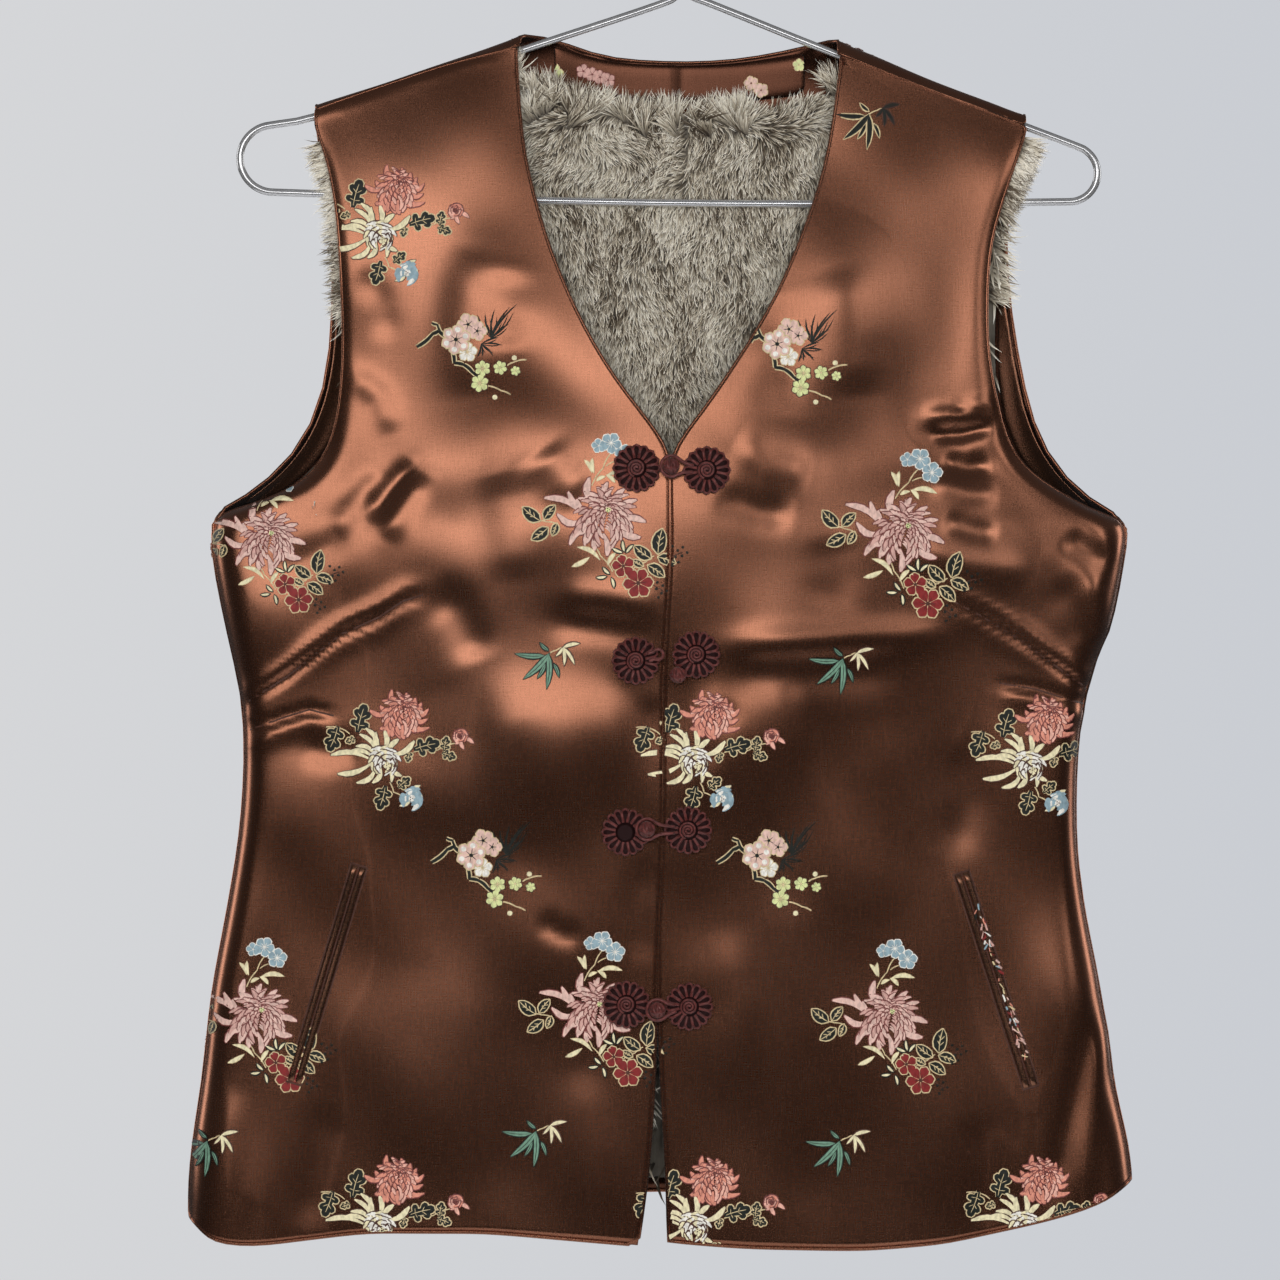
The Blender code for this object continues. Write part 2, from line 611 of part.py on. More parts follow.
def make_front(side, table, hem, folds):
    """The satin front and its lining on one side."""
    sections = [front_section(row) for row in table]
    sections += [front_top(side, share) for share in ARM_ROWS]
    panel = Panel(sections, hem, folds, both_turned=False)
    flat = np.linspace(0, 1 - SIDE_TURN, FRONT_COLUMNS + 1)
    turned = np.linspace(1 - SIDE_TURN, 1, SIDE_COLUMNS + 1)
    top = len(sections) - 2
    across = np.concatenate([flat, turned[1:]])
    up = row_places(panel, top, ROW_STEP)
    wall(f"front_{side}", panel.grid(across, up, 0), panel.grid(across, up, -SATIN), "satin")

    lining_across = np.concatenate([flat[::2], turned])
    lining_across[0] = EDGE_TURN / FRONT_WIDTH
    lining_up = np.concatenate([[HEM_TURN / panel.height[1]], np.arange(1, top + 1)])
    lining_up[-1] -= LINING_SEAM
    shares = np.tile(lining_across, (len(lining_up), 1))
    lay_lining(f"fur_front_{side}", panel, shares, lining_up, table)


# Back

BACK_ARMS = ((130, 0.55), (90, 0.7), (60, 0.8), (30, 0.9), (0, 1.0))  # angle, neck share
# Lines of the back in front of the ridge, as shares of the seam's angle, and one past it
FRONT_PART = (0.5, 1.0, 1.5)
LINING_COLUMNS = (0, 2, 3, 4, 5, 8, 10, 12, 15, 16, 17, 18, 20)  # of the back's inner columns


def back_columns(chosen):
    """Shares across the back: the turned sides and the chosen inner columns."""
    turned = np.linspace(0, BACK_TURN, SIDE_COLUMNS + 1)
    count = 2 * SHOULDER_COLUMNS + NECK_COLUMNS
    inner = np.linspace(BACK_TURN, 1 - BACK_TURN, count + 1)[list(chosen)]
    return np.concatenate([turned[:-1], inner, 1 - turned[-2::-1]])


def make_back():
    """The satin back, its lining, the neck facing and the armhole facings."""
    sections = [back_section(row) for row in BACK]
    below = sections[-1]
    sections += [back_top(-angle, share, below) for angle, share in BACK_ARMS]
    ridge_top = len(sections) - 1
    for share in FRONT_PART:
        x = sections[ridge_top][:, 0]
        sections.append(over_arm(x, (seam_angle(x) - SEAM_ANGLE) * share))
    panel = Panel(sections, BACK_HEM, BACK_FOLDS, both_turned=True)
    top = len(sections) - 2
    arms = len(BACK)

    def on_shoulder(left, right):
        return right <= NECK_COLUMN[0] + SAME or left >= NECK_COLUMN[1] - SAME

    across = back_columns(range(2 * SHOULDER_COLUMNS + NECK_COLUMNS + 1))
    up = row_places(panel, top, ROW_STEP)
    wall(
        "back",
        panel.grid(across, up, 0),
        panel.grid(across, up, -SATIN),
        "satin",
        lambda row, column: up[row + 1] <= ridge_top
        or on_shoulder(across[column], across[column + 1]),
    )

    lining_across = back_columns(LINING_COLUMNS)
    for neck, away in zip(NECK_COLUMN, (-1, 1)):
        at_neck = np.abs(lining_across - neck) < SAME
        lining_across[at_neck] = neck + away * NECK_CLEAR
    neck_end = arms - NECK_TURN
    rows = [HEM_TURN / panel.height[1], *range(1, arms), neck_end, *range(arms, top + 1)]
    lining_up = np.array(rows)
    lining_up[-1] -= LINING_SEAM
    width = np.linalg.norm(sections[0][-1] - sections[0][0])
    inset = np.interp(lining_up, np.arange(arms), [row.inset for row in BACK]) / width
    shares = inset[:, None] + lining_across * (1 - 2 * inset[:, None])
    lay_lining(
        "fur_back",
        panel,
        shares,
        lining_up,
        BACK,
        lambda row, column: lining_up[row + 1] <= neck_end
        or on_shoulder(lining_across[column], lining_across[column + 1]),
    )

    inside = FACING_START * INNER_SHARE
    neck_columns = across[
        (across > NECK_COLUMN[0] + inside) & (across < NECK_COLUMN[1] - inside)
    ]
    neck_up = np.array([arms + NECK_FOOT, *range(arms + 1, ridge_top + 1)])
    neck_shares = np.tile(neck_columns, (len(neck_up), 1))
    make_facing("neck_facing", panel, across, neck_shares, neck_up)

    faced = [number for number, row in enumerate(BACK) if row.inset > FACED_INSET]
    reach = np.array([BACK[number].inset - FACED_SEAM for number in faced]) / width
    strip = reach[:, None] * np.array([FACED_SHARES])
    faced_up = np.array(faced, float)
    make_facing("armhole_facing_left", panel, across, strip, faced_up)
    make_facing("armhole_facing_right", panel, across, 1 - strip[:, ::-1], faced_up)


def make_facing(name, panel, columns, across, up):
    """A strip of satin sewn on the inner side of a panel, along the panel's own facets."""

    def face(lift):
        below, above = (panel.grid(columns, whole, lift) for whole in (np.floor(up), np.ceil(up)))
        grid = below + (above - below) * (up - np.floor(up))[:, None, None]
        return np.array(
            [
                [[np.interp(share, columns, row[:, axis]) for axis in range(3)] for share in shares]
                for shares, row in zip(across, grid)
            ]
        )

    wall(name, face(-SATIN - FACING_CLEAR), face(-SATIN - FACING_CLEAR - FACING), "facing")


# What is laid on the fronts

def cloth_tree(name):
    """A tree of a piece's faces in millimetres, to find points on it."""
    mesh = bpy.data.objects[name].data
    points = [vert.co / MM for vert in mesh.vertices]
    return BVHTree.FromPolygons(points, [tuple(face.vertices) for face in mesh.polygons])


def cloth_point(trees, x, z):
    """The nearest point in front and the direction out of the cloth there, or None."""
    found = [tree.ray_cast(Vector((x, VIEW_START, z)), Vector((0.0, 1.0, 0.0))) for tree in trees]
    found = [hit for hit in found if hit[0] is not None]
    if not found:
        return None
    place, normal = min(found, key=lambda hit: hit[0].y)[:2]
    return place, normal if normal.y < 0 else -normal


def make_welts(side, pocket):
    """The two welts of a slanted pocket mouth."""
    tree = cloth_tree(f"front_{side}")
    top = np.array([pocket.top_x, pocket.top_z])
    bottom = np.array([pocket.bottom_x, pocket.bottom_z])
    along = (bottom - top) / np.linalg.norm(bottom - top)
    outward = np.array([along[1], -along[0]]) * math.copysign(1, along[1] * pocket.top_x)
    for name, near in (("outer", SEAM / 2), ("inner", -SEAM / 2 - WELT)):
        face, under = [], []
        for share in np.linspace(0, 1, WELT_ROWS):
            centre = top + (bottom - top) * share
            rows = [centre + outward * (near + WELT * part) for part in (0.0, 1.0)]
            hits = [cloth_point([tree], *place) for place in rows]
            under.append([place + normal * LAID_LIFT for place, normal in hits])
            face.append([place + normal * (LAID_LIFT + FACING) for place, normal in hits])
        wall(f"welt_{side}_{name}", np.array(face), np.array(under), "facing")


def make_flower(name, side, x, z):
    """A frog flower: a ring of looped petals round a raised coil."""
    tree = cloth_tree(f"front_{side}")
    place, normal = cloth_point([tree], x, z)
    turn = normal.to_track_quat("Z", "Y").to_matrix().to_4x4()
    lift = 0.0
    for step in range(PETALS):
        angle = 2 * math.pi * step / PETALS
        rim = turn @ Vector((FLOWER * math.cos(angle), FLOWER * math.sin(angle), 0)) + place
        hit = cloth_point([tree], rim.x, rim.z)
        if hit:
            lift = max(lift, (hit[0] - place).dot(normal))
    bm = bmesh.new()
    disc = bmesh.ops.create_cone(
        bm,
        cap_ends=True,
        segments=2 * PETALS,
        radius1=FLOWER,
        radius2=FLOWER,
        depth=FLOWER_HEIGHTS[0][1],
    )
    bmesh.ops.translate(bm, vec=(0, 0, FLOWER_HEIGHTS[0][1] / 2), verts=disc["verts"])
    bm.faces.ensure_lookup_table()
    cap = max(bm.faces, key=lambda face: face.calc_center_median().z)
    for (outer, _), (radius, height) in zip(FLOWER_HEIGHTS, FLOWER_HEIGHTS[1:]):
        bmesh.ops.inset_region(bm, faces=[cap], thickness=outer - radius, depth=0)
        for vert in cap.verts:
            vert.co.z = height
    for vert in bm.verts:
        radius = math.hypot(vert.co.x, vert.co.y)
        angle = math.atan2(vert.co.y, vert.co.x)
        if radius > (FLOWER + FLOWER_HEIGHTS[1][0]) / 2:
            waved = 1 - PETAL_DEPTH * (0.5 - 0.5 * math.cos(PETALS * angle))
            vert.co.x, vert.co.y = vert.co.x * waved, vert.co.y * waved
    base = Matrix.Translation(place + normal * (lift + LAID_LIFT)) @ turn
    bmesh.ops.transform(bm, matrix=base, verts=bm.verts)
    mesh_object(name, bm, "frog")


def make_knot(name, trees, frog):
    """A ball knot in front of the cloth."""
    place, _ = cloth_point(trees, frog.knot_x + GAP_STEP, frog.knot_z)
    bm = bmesh.new()
    bmesh.ops.create_icosphere(bm, subdivisions=2, radius=KNOT)
    centre = place + Vector((-GAP_STEP, -frog.height, 0))
    bmesh.ops.translate(bm, vec=centre, verts=bm.verts)
    mesh_object(name, bm, "frog")


def wire_object(name, points, radius, resolution, material_name):
    """A round wire with capped ends along points in millimetres."""
    curve = bpy.data.curves.new(name, "CURVE")
    curve.dimensions = "3D"
    curve.bevel_depth = radius * MM
    curve.bevel_resolution = resolution
    curve.use_fill_caps = True
    spline = curve.splines.new("POLY")
    spline.points.add(len(points) - 1)
    for point, co in zip(spline.points, points):
        point.co = (co[0] * MM, co[1] * MM, co[2] * MM, 1.0)
    spline.use_smooth = True
    return add_object(name, curve, material_name)


def make_loop(name, trees, frog):
    """The cord eye of a frog, from its flower round the knot and back."""
    if frog.loop_from == "left":
        root = Vector((frog.left_x, frog.left_z))
        end = Vector((OPEN_LOOP_X - OPEN_EYE - CORD, frog.right_z))
        radius = OPEN_EYE
    else:
        root = Vector((frog.right_x, frog.right_z))
        end = Vector((frog.knot_x, frog.knot_z))
        radius = KNOT + SEAM + CORD
    along = (end - root).normalized()
    beside = Vector((-along.y, along.x))
    flat = [root + along * LOOP_ROOT + beside * LOOP_HALF]
    mouth = end - along * (radius + LOOP_HALF)
    flat.append(mouth + beside * LOOP_HALF * LOOP_SPREAD)
    for step in range(LOOP_STEPS + 1):
        angle = math.radians(LOOP_OPENING + (360 - 2 * LOOP_OPENING) * step / LOOP_STEPS)
        flat.append(end - along * radius * math.cos(angle) + beside * radius * math.sin(angle))
    flat.append(mouth - beside * LOOP_HALF * LOOP_SPREAD)
    flat.append(root + along * LOOP_ROOT - beside * LOOP_HALF)
    depths = []
    for place in flat:
        hit = cloth_point(trees, place.x, place.y) or cloth_point(
            trees, place.x + GAP_STEP, place.y
        )
        depths.append(hit[0].y)
    nearest = min(depths)
    points = [(place.x, nearest - LOOP_HEIGHT, place.y) for place in flat]
    wire_object(name, points, CORD, 1, "frog")


# Hanger

def arc(centre_x, centre_z, radius, start, end, steps):
    """Points of an arc in the hanger's plane, angles in degrees."""
    angles = np.radians(np.linspace(start, end, steps + 1))
    return [
        (centre_x + radius * math.cos(angle), 0.0, centre_z + radius * math.sin(angle))
        for angle in angles
    ]


def in_plane(points):
    """Points of the hanger's plane from pairs of x and z."""
    return [(x, 0.0, z) for x, z in points]


def shortened(points, first, last):
    """Points of a wire with a seam taken off at the ends that meet another wire."""
    points = [Vector(co) for co in points]
    if first:
        points[0] += (points[1] - points[0]).normalized() * SEAM
    if last:
        points[-1] += (points[-2] - points[-1]).normalized() * SEAM
    return points


def make_hanger():
    """The hanger's wire in seven stretches, each of a simple shape: the hook and its stem,
    then the right arm, end and bar, the left end and arm, and the twist round the stem."""
    hook = arc(0.0, -HOOK, HOOK + WIRE, *HOOK_TURN)
    hook += in_plane(HOOK_FOOT + [(0.0, STEM_FOOT)] + APEX_RIGHT + ARM_RIGHT[:1])
    right_end = arc(*END_LOOP_RIGHT, *RIGHT_TURN)
    left_end = arc(*END_LOOP_LEFT, *LEFT_TURN)
    twist_start = Vector(ARM_LEFT[0]).lerp(Vector(ARM_LEFT[1]), TWIST_SHARE)
    left_arm = in_plane(ARM_LEFT[:0:-1] + [twist_start])
    twist = in_plane([twist_start, ARM_LEFT[0], APEX_LEFT])
    around = 2 * WIRE + SEAM
    count = TWIST_TURNS * TWIST_STEPS
    for step in range(count + 1):
        angle = math.pi + 2 * math.pi * step / TWIST_STEPS
        height = TWIST_FOOT + (TWIST_TOP - TWIST_FOOT) * step / count
        twist.append((around * math.cos(angle), around * math.sin(angle), height))
    stretches = {
        "hanger_hook": shortened(hook, False, True),
        "hanger_arm_right": shortened(in_plane(ARM_RIGHT) + right_end[:1], True, True),
        "hanger_end_right": shortened(right_end, True, True),
        "hanger_bar": shortened(right_end[-1:] + in_plane(BAR) + left_end[:1], True, True),
        "hanger_end_left": shortened(left_end, True, True),
        "hanger_arm_left": shortened(left_end[-1:] + left_arm, True, True),
        "hanger_twist": shortened(twist, True, False),
    }
    for name, points in stretches.items():
        wire_object(name, points, WIRE, 2, "chrome")


# Build

for old in list(bpy.data.objects):
    bpy.data.objects.remove(old)
collection = bpy.data.collections.new("brocade waistcoat on wire hanger")
bpy.context.scene.collection.children.link(collection)

make_front("left", LEFT_FRONT, LEFT_HEM, LEFT_FOLDS)
make_front("right", RIGHT_FRONT, RIGHT_HEM, RIGHT_FOLDS)
make_back()
for side_name, pocket_row in POCKETS.items():
    make_welts(side_name, pocket_row)
front_trees = [cloth_tree("front_left"), cloth_tree("front_right")]
for number, frog_row in enumerate(FROGS, start=1):
    make_flower(f"flower_left_{number}", "left", frog_row.left_x, frog_row.left_z)
    make_flower(f"flower_right_{number}", "right", frog_row.right_x, frog_row.right_z)
    make_knot(f"knot_{number}", front_trees, frog_row)
    make_loop(f"loop_{number}", front_trees, frog_row)
make_hanger()
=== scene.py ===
# %% [markdown]
# # A brocade waistcoat with a fur lining, on a wire hanger
#
# The waistcoat hangs flat against a pale wall: two satin fronts and a back, each a wall of
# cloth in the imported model, closed by four pairs of flower frogs. This script dresses that
# model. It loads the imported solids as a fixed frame, replaces the coarse cloth by fine cloth
# on the same form, weaves the flowers, grows the fur and ties the frogs.
#
# %% Load the frame
import math

import bmesh
import bpy
import numpy as np
from mathutils import Matrix, Vector
from mathutils.bvhtree import BVHTree


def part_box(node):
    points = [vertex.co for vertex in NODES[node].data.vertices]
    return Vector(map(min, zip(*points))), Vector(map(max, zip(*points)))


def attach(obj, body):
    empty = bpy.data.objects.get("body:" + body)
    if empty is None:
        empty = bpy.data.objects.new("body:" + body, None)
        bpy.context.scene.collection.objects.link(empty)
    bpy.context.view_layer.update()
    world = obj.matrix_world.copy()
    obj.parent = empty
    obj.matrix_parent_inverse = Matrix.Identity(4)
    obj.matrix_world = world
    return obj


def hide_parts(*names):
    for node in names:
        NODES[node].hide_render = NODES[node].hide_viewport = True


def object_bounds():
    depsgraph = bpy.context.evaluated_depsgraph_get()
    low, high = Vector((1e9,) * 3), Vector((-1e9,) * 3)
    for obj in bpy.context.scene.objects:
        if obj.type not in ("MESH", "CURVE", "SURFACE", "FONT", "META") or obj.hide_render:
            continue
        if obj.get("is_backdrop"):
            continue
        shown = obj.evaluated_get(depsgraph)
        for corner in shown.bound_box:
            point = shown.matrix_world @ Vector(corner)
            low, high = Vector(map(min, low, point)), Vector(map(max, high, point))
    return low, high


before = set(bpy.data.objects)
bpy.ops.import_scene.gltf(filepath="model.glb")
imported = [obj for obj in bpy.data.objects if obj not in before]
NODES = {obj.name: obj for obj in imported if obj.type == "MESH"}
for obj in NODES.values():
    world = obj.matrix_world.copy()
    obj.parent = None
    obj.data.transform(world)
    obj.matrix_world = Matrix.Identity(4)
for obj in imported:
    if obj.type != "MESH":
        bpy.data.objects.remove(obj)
CAD_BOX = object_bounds()
MM = 0.001
print("packed nodes:", len(NODES), "box:", [tuple(round(v, 3) for v in co) for co in CAD_BOX])

# %% [markdown]
# The photograph looks straight at the waistcoat, and its sizes hold in the plane between
# the fronts and the hanger. A long lens from four metres keeps front and back nearly the
# same size, as a telephoto would. The frame is square, so the lens follows from the width
# that the frame has to show.
#
# %% Camera
FRAME_WIDTH = 0.6252
FRAME_CENTRE = Vector((-0.0234, -0.015, -0.381))
CAMERA_DISTANCE = 4.0
SENSOR = 36.0

camera_data = bpy.data.cameras.new("camera")
camera_data.sensor_width = SENSOR
camera_data.lens = SENSOR * CAMERA_DISTANCE / FRAME_WIDTH
camera = bpy.data.objects.new("camera", camera_data)
camera.location = FRAME_CENTRE - Vector((0, CAMERA_DISTANCE, 0))
camera.rotation_euler = (math.pi / 2, 0, 0)
bpy.context.scene.collection.objects.link(camera)
bpy.context.scene.camera = camera
bpy.context.scene.view_settings.view_transform = "Standard"
print("lens:", round(camera_data.lens, 1), "mm")

# %% [markdown]
# Node materials are written with small helpers. The first adds a node, sets its values and
# links the sockets that are handed in, and the others are the few nodes that every material
# here is made of: a ramp, a noise, a range, a mix and a bump. A uniform value goes straight
# to the shader.
#
# %% Node helper


def node(tree, kind, inputs=None, **settings):
    """Add a node, set or link its inputs and return it."""
    made = tree.nodes.new(kind)
    for key, value in settings.items():
        setattr(made, key, value)
    for key, value in (inputs or {}).items():
        if isinstance(value, bpy.types.NodeSocket):
            tree.links.new(value, made.inputs[key])
        else:
            made.inputs[key].default_value = value
    return made


def ramp(tree, factor, *stops):
    """A colour ramp through (position, colour) stops."""
    made = node(tree, "ShaderNodeValToRGB", {"Fac": factor})
    bands = made.color_ramp.elements
    while len(bands) < len(stops):
        bands.new(0.5)
    for band, (position, colour) in zip(bands, stops):
        band.position = position
        band.color = (*colour, 1.0)
    return made.outputs["Color"]


def grain(tree, scale, detail=2.0):
    """Noise on object coordinates, stretched by three scales for a metre."""
    where = node(tree, "ShaderNodeTexCoord").outputs["Object"]
    placed = node(tree, "ShaderNodeMapping", {"Vector": where, "Scale": scale})
    values = {"Vector": placed.outputs["Vector"], "Scale": 1.0, "Detail": detail}
    return node(tree, "ShaderNodeTexNoise", values).outputs["Fac"]


def ranged(tree, value, low, high, to_low=0.0, to_high=1.0):
    """A value mapped from one range to another."""
    values = {"Value": value, "From Min": low, "From Max": high, "To Min": to_low, "To Max": to_high}
    return node(tree, "ShaderNodeMapRange", values).outputs["Result"]


def mixed(tree, factor, first, second, **settings):
    """Two colours mixed by a factor."""
    values = {"Factor": factor, "A": first, "B": second}
    return node(tree, "ShaderNodeMix", values, data_type="RGBA", **settings).outputs["Result"]


def tint(tree, shader, factor, *stops):
    """Colour a shader by a ramp."""
    tree.links.new(ramp(tree, factor, *stops), shader.inputs["Base Color"])


def roughen(tree, shader, height, strength, distance):
    """Give a shader a bump, its distance in metres."""
    made = node(tree, "ShaderNodeBump", {"Height": height, "Strength": strength, "Distance": distance})
    tree.links.new(made.outputs["Normal"], shader.inputs["Normal"])


def new_material(name, uniform):
    """An empty Principled material with its uniform values set."""
    made = bpy.data.materials.new(name)
    made.use_nodes = True
    shader = made.node_tree.nodes["Principled BSDF"]
    for key, value in uniform.items():
        shader.inputs[key].default_value = value
    return made, made.node_tree, shader


def mesh_of(bm, name):
    """A bmesh as a new mesh."""
    mesh = bpy.data.meshes.new(name)
    bm.to_mesh(mesh)
    bm.free()
    return mesh


print("helpers ready")

# %% [markdown]
# A studio with one large soft light above left, which the satin mirrors in its upper half,
# and a weaker one from the right. The fill lights cloth and fur but isn't mirrored, so the
# lower half of the satin stays as dark as in the photograph. A key and a fill behind, and a
# light at each side, show the waistcoat all round. The world is pale where the camera looks
# at it and dim where the cloth reflects it, and the pale wall is painted darker and bluer
# towards the right, as painted shade.
#
# %% Lights, world and floor
PALE_LEFT = (0.665, 0.672, 0.690, 1)
# the wall's right-hand colour is darker and bluer: painted shade across the backdrop
PALE_RIGHT_PAINTED_SHADE = (0.590, 0.610, 0.650, 1)
PALE_SPREAD = 0.08  # how far aside the wall takes its right and left colours
ROOM_TOP = (0.050, 0.051, 0.053, 1)
ROOM_LOW = (0.003, 0.003, 0.003, 1)
ROOM_RISE = (0.05, 0.5)  # between these heights of a direction the room brightens
FLOOR_Z = -1.35
FLOOR_RADIUS = 1.2
# place, size, power, whether it is mirrored
LIGHTS = {
    "key_soft": ((-0.3, -2.1, 0.06), (1.5, 0.52), 5.3, True),
    "side_soft": ((1.2, -2.0, 0.18), (0.6, 0.6), 1.7, True),
    "fill_soft": ((0.0, -3.2, -0.3), (2.6, 2.2), 105.0, False),
    "back_key": ((0.5, 2.3, 0.0), (2.0, 1.3), 9.0, True),
    "back_fill": ((0.0, 3.2, -0.3), (2.6, 2.2), 85.0, False),
    "left_side": ((-2.4, 0.9, 0.1), (0.8, 1.4), 7.0, True),
    "right_side": ((2.4, 0.9, 0.1), (0.8, 1.4), 7.0, True),
}

for name, (place, size, power, mirrored) in LIGHTS.items():
    data = bpy.data.lights.new(name, "AREA")
    data.shape = "RECTANGLE"
    data.size, data.size_y = size
    data.energy = power
    light = bpy.data.objects.new(name, data)
    light.location = place
    aim = FRAME_CENTRE - Vector(place)
    light.rotation_euler = aim.to_track_quat("-Z", "Y").to_euler()
    light.visible_camera = False
    light.visible_glossy = mirrored
    bpy.context.scene.collection.objects.link(light)

world = bpy.data.worlds.new("room")
world.use_nodes = True
tree = world.node_tree
tree.nodes.clear()
direction = node(tree, "ShaderNodeTexCoord").outputs["Generated"]
parts = node(tree, "ShaderNodeSeparateXYZ", {"Vector": direction}).outputs
# the backdrop fades from the left colour to the darker right one: painted shade
pale = mixed(tree, ranged(tree, parts["X"], -PALE_SPREAD, PALE_SPREAD), PALE_LEFT, PALE_RIGHT_PAINTED_SHADE)
room = mixed(tree, ranged(tree, parts["Z"], *ROOM_RISE), ROOM_LOW, ROOM_TOP)
seen = node(tree, "ShaderNodeLightPath").outputs["Is Camera Ray"]
background = node(tree, "ShaderNodeBackground", {"Color": mixed(tree, seen, room, pale)})
node(tree, "ShaderNodeOutputWorld", {"Surface": background.outputs["Background"]})
bpy.context.scene.world = world

floor_bm = bmesh.new()
bmesh.ops.create_circle(floor_bm, cap_ends=True, segments=64, radius=FLOOR_RADIUS)
bmesh.ops.translate(floor_bm, vec=(0, 0, FLOOR_Z), verts=floor_bm.verts)
floor_mesh = mesh_of(floor_bm, "floor")
floor = bpy.data.objects.new("floor", floor_mesh)
floor_material, _, floor_shader = new_material("pale floor", {"Roughness": 0.8})
floor_shader.inputs["Base Color"].default_value = PALE_LEFT
floor_mesh.materials.append(floor_material)
bpy.context.scene.collection.objects.link(floor)
floor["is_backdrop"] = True
print("lights:", len(LIGHTS))

# %% [markdown]
# The satin is a warp-faced silk: smooth, with a copper sheen that runs from nearly black to
# bright, and fine weft lines across. Most of its colour is in the reflection, so it is part
# metallic. Two stretched noises make the weft and warp, and a broad one tones the colour.
#
# %% Satin
COPPER = ((0.42, 0.170, 0.098), (0.52, 0.218, 0.130))
SATIN_SHINE = {"Metallic": 0.97, "Sheen Weight": 0.05, "Anisotropic": 0.25}
SATIN_ROUGHNESS = (0.255, 0.285)  # on the threads and between them


def satin_material(name, colours=COPPER):
    """Satin between two colours, with threads across and along."""
    made, tree, shader = new_material(name, SATIN_SHINE)
    tint(tree, shader, grain(tree, (14, 14, 9), 3), (0.3, colours[0]), (0.7, colours[1]))
    weft = grain(tree, (170, 170, 2100), 2)
    warp = grain(tree, (1500, 1500, 110), 1)
    threads = node(tree, "ShaderNodeMath", {0: weft, 1: warp}, operation="ADD").outputs[0]
    tree.links.new(ranged(tree, threads, 0.7, 1.3, *SATIN_ROUGHNESS), shader.inputs["Roughness"])
    roughen(tree, shader, threads, 0.07, 0.0001)
    return made


SATIN = satin_material("copper satin")
print("satin ready")

# %% [markdown]
# Fine cloth on the coarse form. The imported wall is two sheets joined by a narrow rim. On
# the satin, the rim faces are the ones with an edge as long as the wall is thick. On the
# lining, whose thickness changes, they lie behind a sharp edge. Without them the two sheets
# fall apart, and the one on the wanted side is kept. Its triangles become squares again, a
# subdivision surface rounds them, and the creases are then moved in along the normals.
#
# %% Cloth helpers
WALL = 1.5 * MM
RIM_SHARE = 0.03  # a rim edge differs from the wall's thickness by less than this share
RIM_ANGLE = 1.0
CLOTH = 0.9 * MM
MERGE = 0.02 * MM


def merged(node_name):
    """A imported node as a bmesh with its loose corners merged."""
    bm = bmesh.new()
    bm.from_mesh(NODES[node_name].data)
    bmesh.ops.remove_doubles(bm, verts=bm.verts, dist=MERGE)
    return bm


def loose_parts(bm):
    """Lists of faces that hang together."""
    left = set(bm.faces)
    found = []
    while left:
        group = [left.pop()]
        for face in group:
            for edge in face.edges:
                for other in edge.link_faces:
                    if other in left:
                        left.remove(other)
                        group.append(other)
        found.append(group)
    return found


def sheet_of(name, thickness, towards):
    """The sheet of a packed wall that lies furthest towards a direction, as squares. With
    no thickness the sheets are parted at their sharp edges."""
    bm = merged(name)
    if thickness:
        near = RIM_SHARE * thickness
        rim = [
            face
            for face in bm.faces
            if any(abs(edge.calc_length() - thickness) < near for edge in face.edges)
        ]
        bmesh.ops.delete(bm, geom=rim, context="FACES")
    else:
        sharp = [edge for edge in bm.edges if edge.calc_face_angle(0) > RIM_ANGLE]
        bmesh.ops.split_edges(bm, edges=sharp)
    parts = sorted(loose_parts(bm), key=len)[-2:]
    place = {
        index: np.mean([face.calc_center_median().dot(towards) for face in part])
        for index, part in enumerate(parts)
    }
    kept = set(parts[max(place, key=place.get)])
    bmesh.ops.delete(bm, geom=[face for face in bm.faces if face not in kept], context="FACES")
    bmesh.ops.join_triangles(
        bm, faces=bm.faces, angle_face_threshold=math.pi, angle_shape_threshold=math.pi
    )
    return bm


def subdivided(bm, name, levels):
    """A bmesh as a mesh, rounded by a subdivision surface."""
    mesh = mesh_of(bm, name)
    made = bpy.data.objects.new(name, mesh)
    bpy.context.scene.collection.objects.link(made)
    rounding = made.modifiers.new("rounding", "SUBSURF")
    rounding.levels = rounding.render_levels = levels
    rounding.boundary_smooth = "PRESERVE_CORNERS"
    shown = made.evaluated_get(bpy.context.evaluated_depsgraph_get())
    fine = bpy.data.meshes.new_from_object(shown)
    bpy.data.objects.remove(made)
    bpy.data.meshes.remove(mesh)
    fine.name = name
    fine.shade_smooth()
    return fine


def read(mesh):
    """The places of a mesh's vertices as an array."""
    values = np.zeros(len(mesh.vertices) * 3)
    mesh.vertices.foreach_get("co", values)
    return values.reshape(-1, 3)


def read_normals(mesh):
    values = np.zeros(len(mesh.vertices) * 3)
    mesh.vertex_normals.foreach_get("vector", values)
    return values.reshape(-1, 3)


def write(mesh, points):
    mesh.vertices.foreach_set("co", np.ascontiguousarray(points).ravel())
    mesh.update()


def area_of(mesh):
    return sum(face.area for face in mesh.polygons)


def finish_piece(name, mesh, slot, *materials):
    """A piece in its place, with its materials, riding on the waistcoat."""
    made = bpy.data.objects.new(name, mesh)
    for material in materials:
        mesh.materials.append(material)
    bpy.context.scene.collection.objects.link(made)
    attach(made, "root")
    return made


def thicken(piece, thickness):
    """Give a sheet its thickness, away from its normals, as a live modifier."""
    wall = piece.modifiers.new("thickness", "SOLIDIFY")
    wall.thickness = thickness
    wall.offset = -1


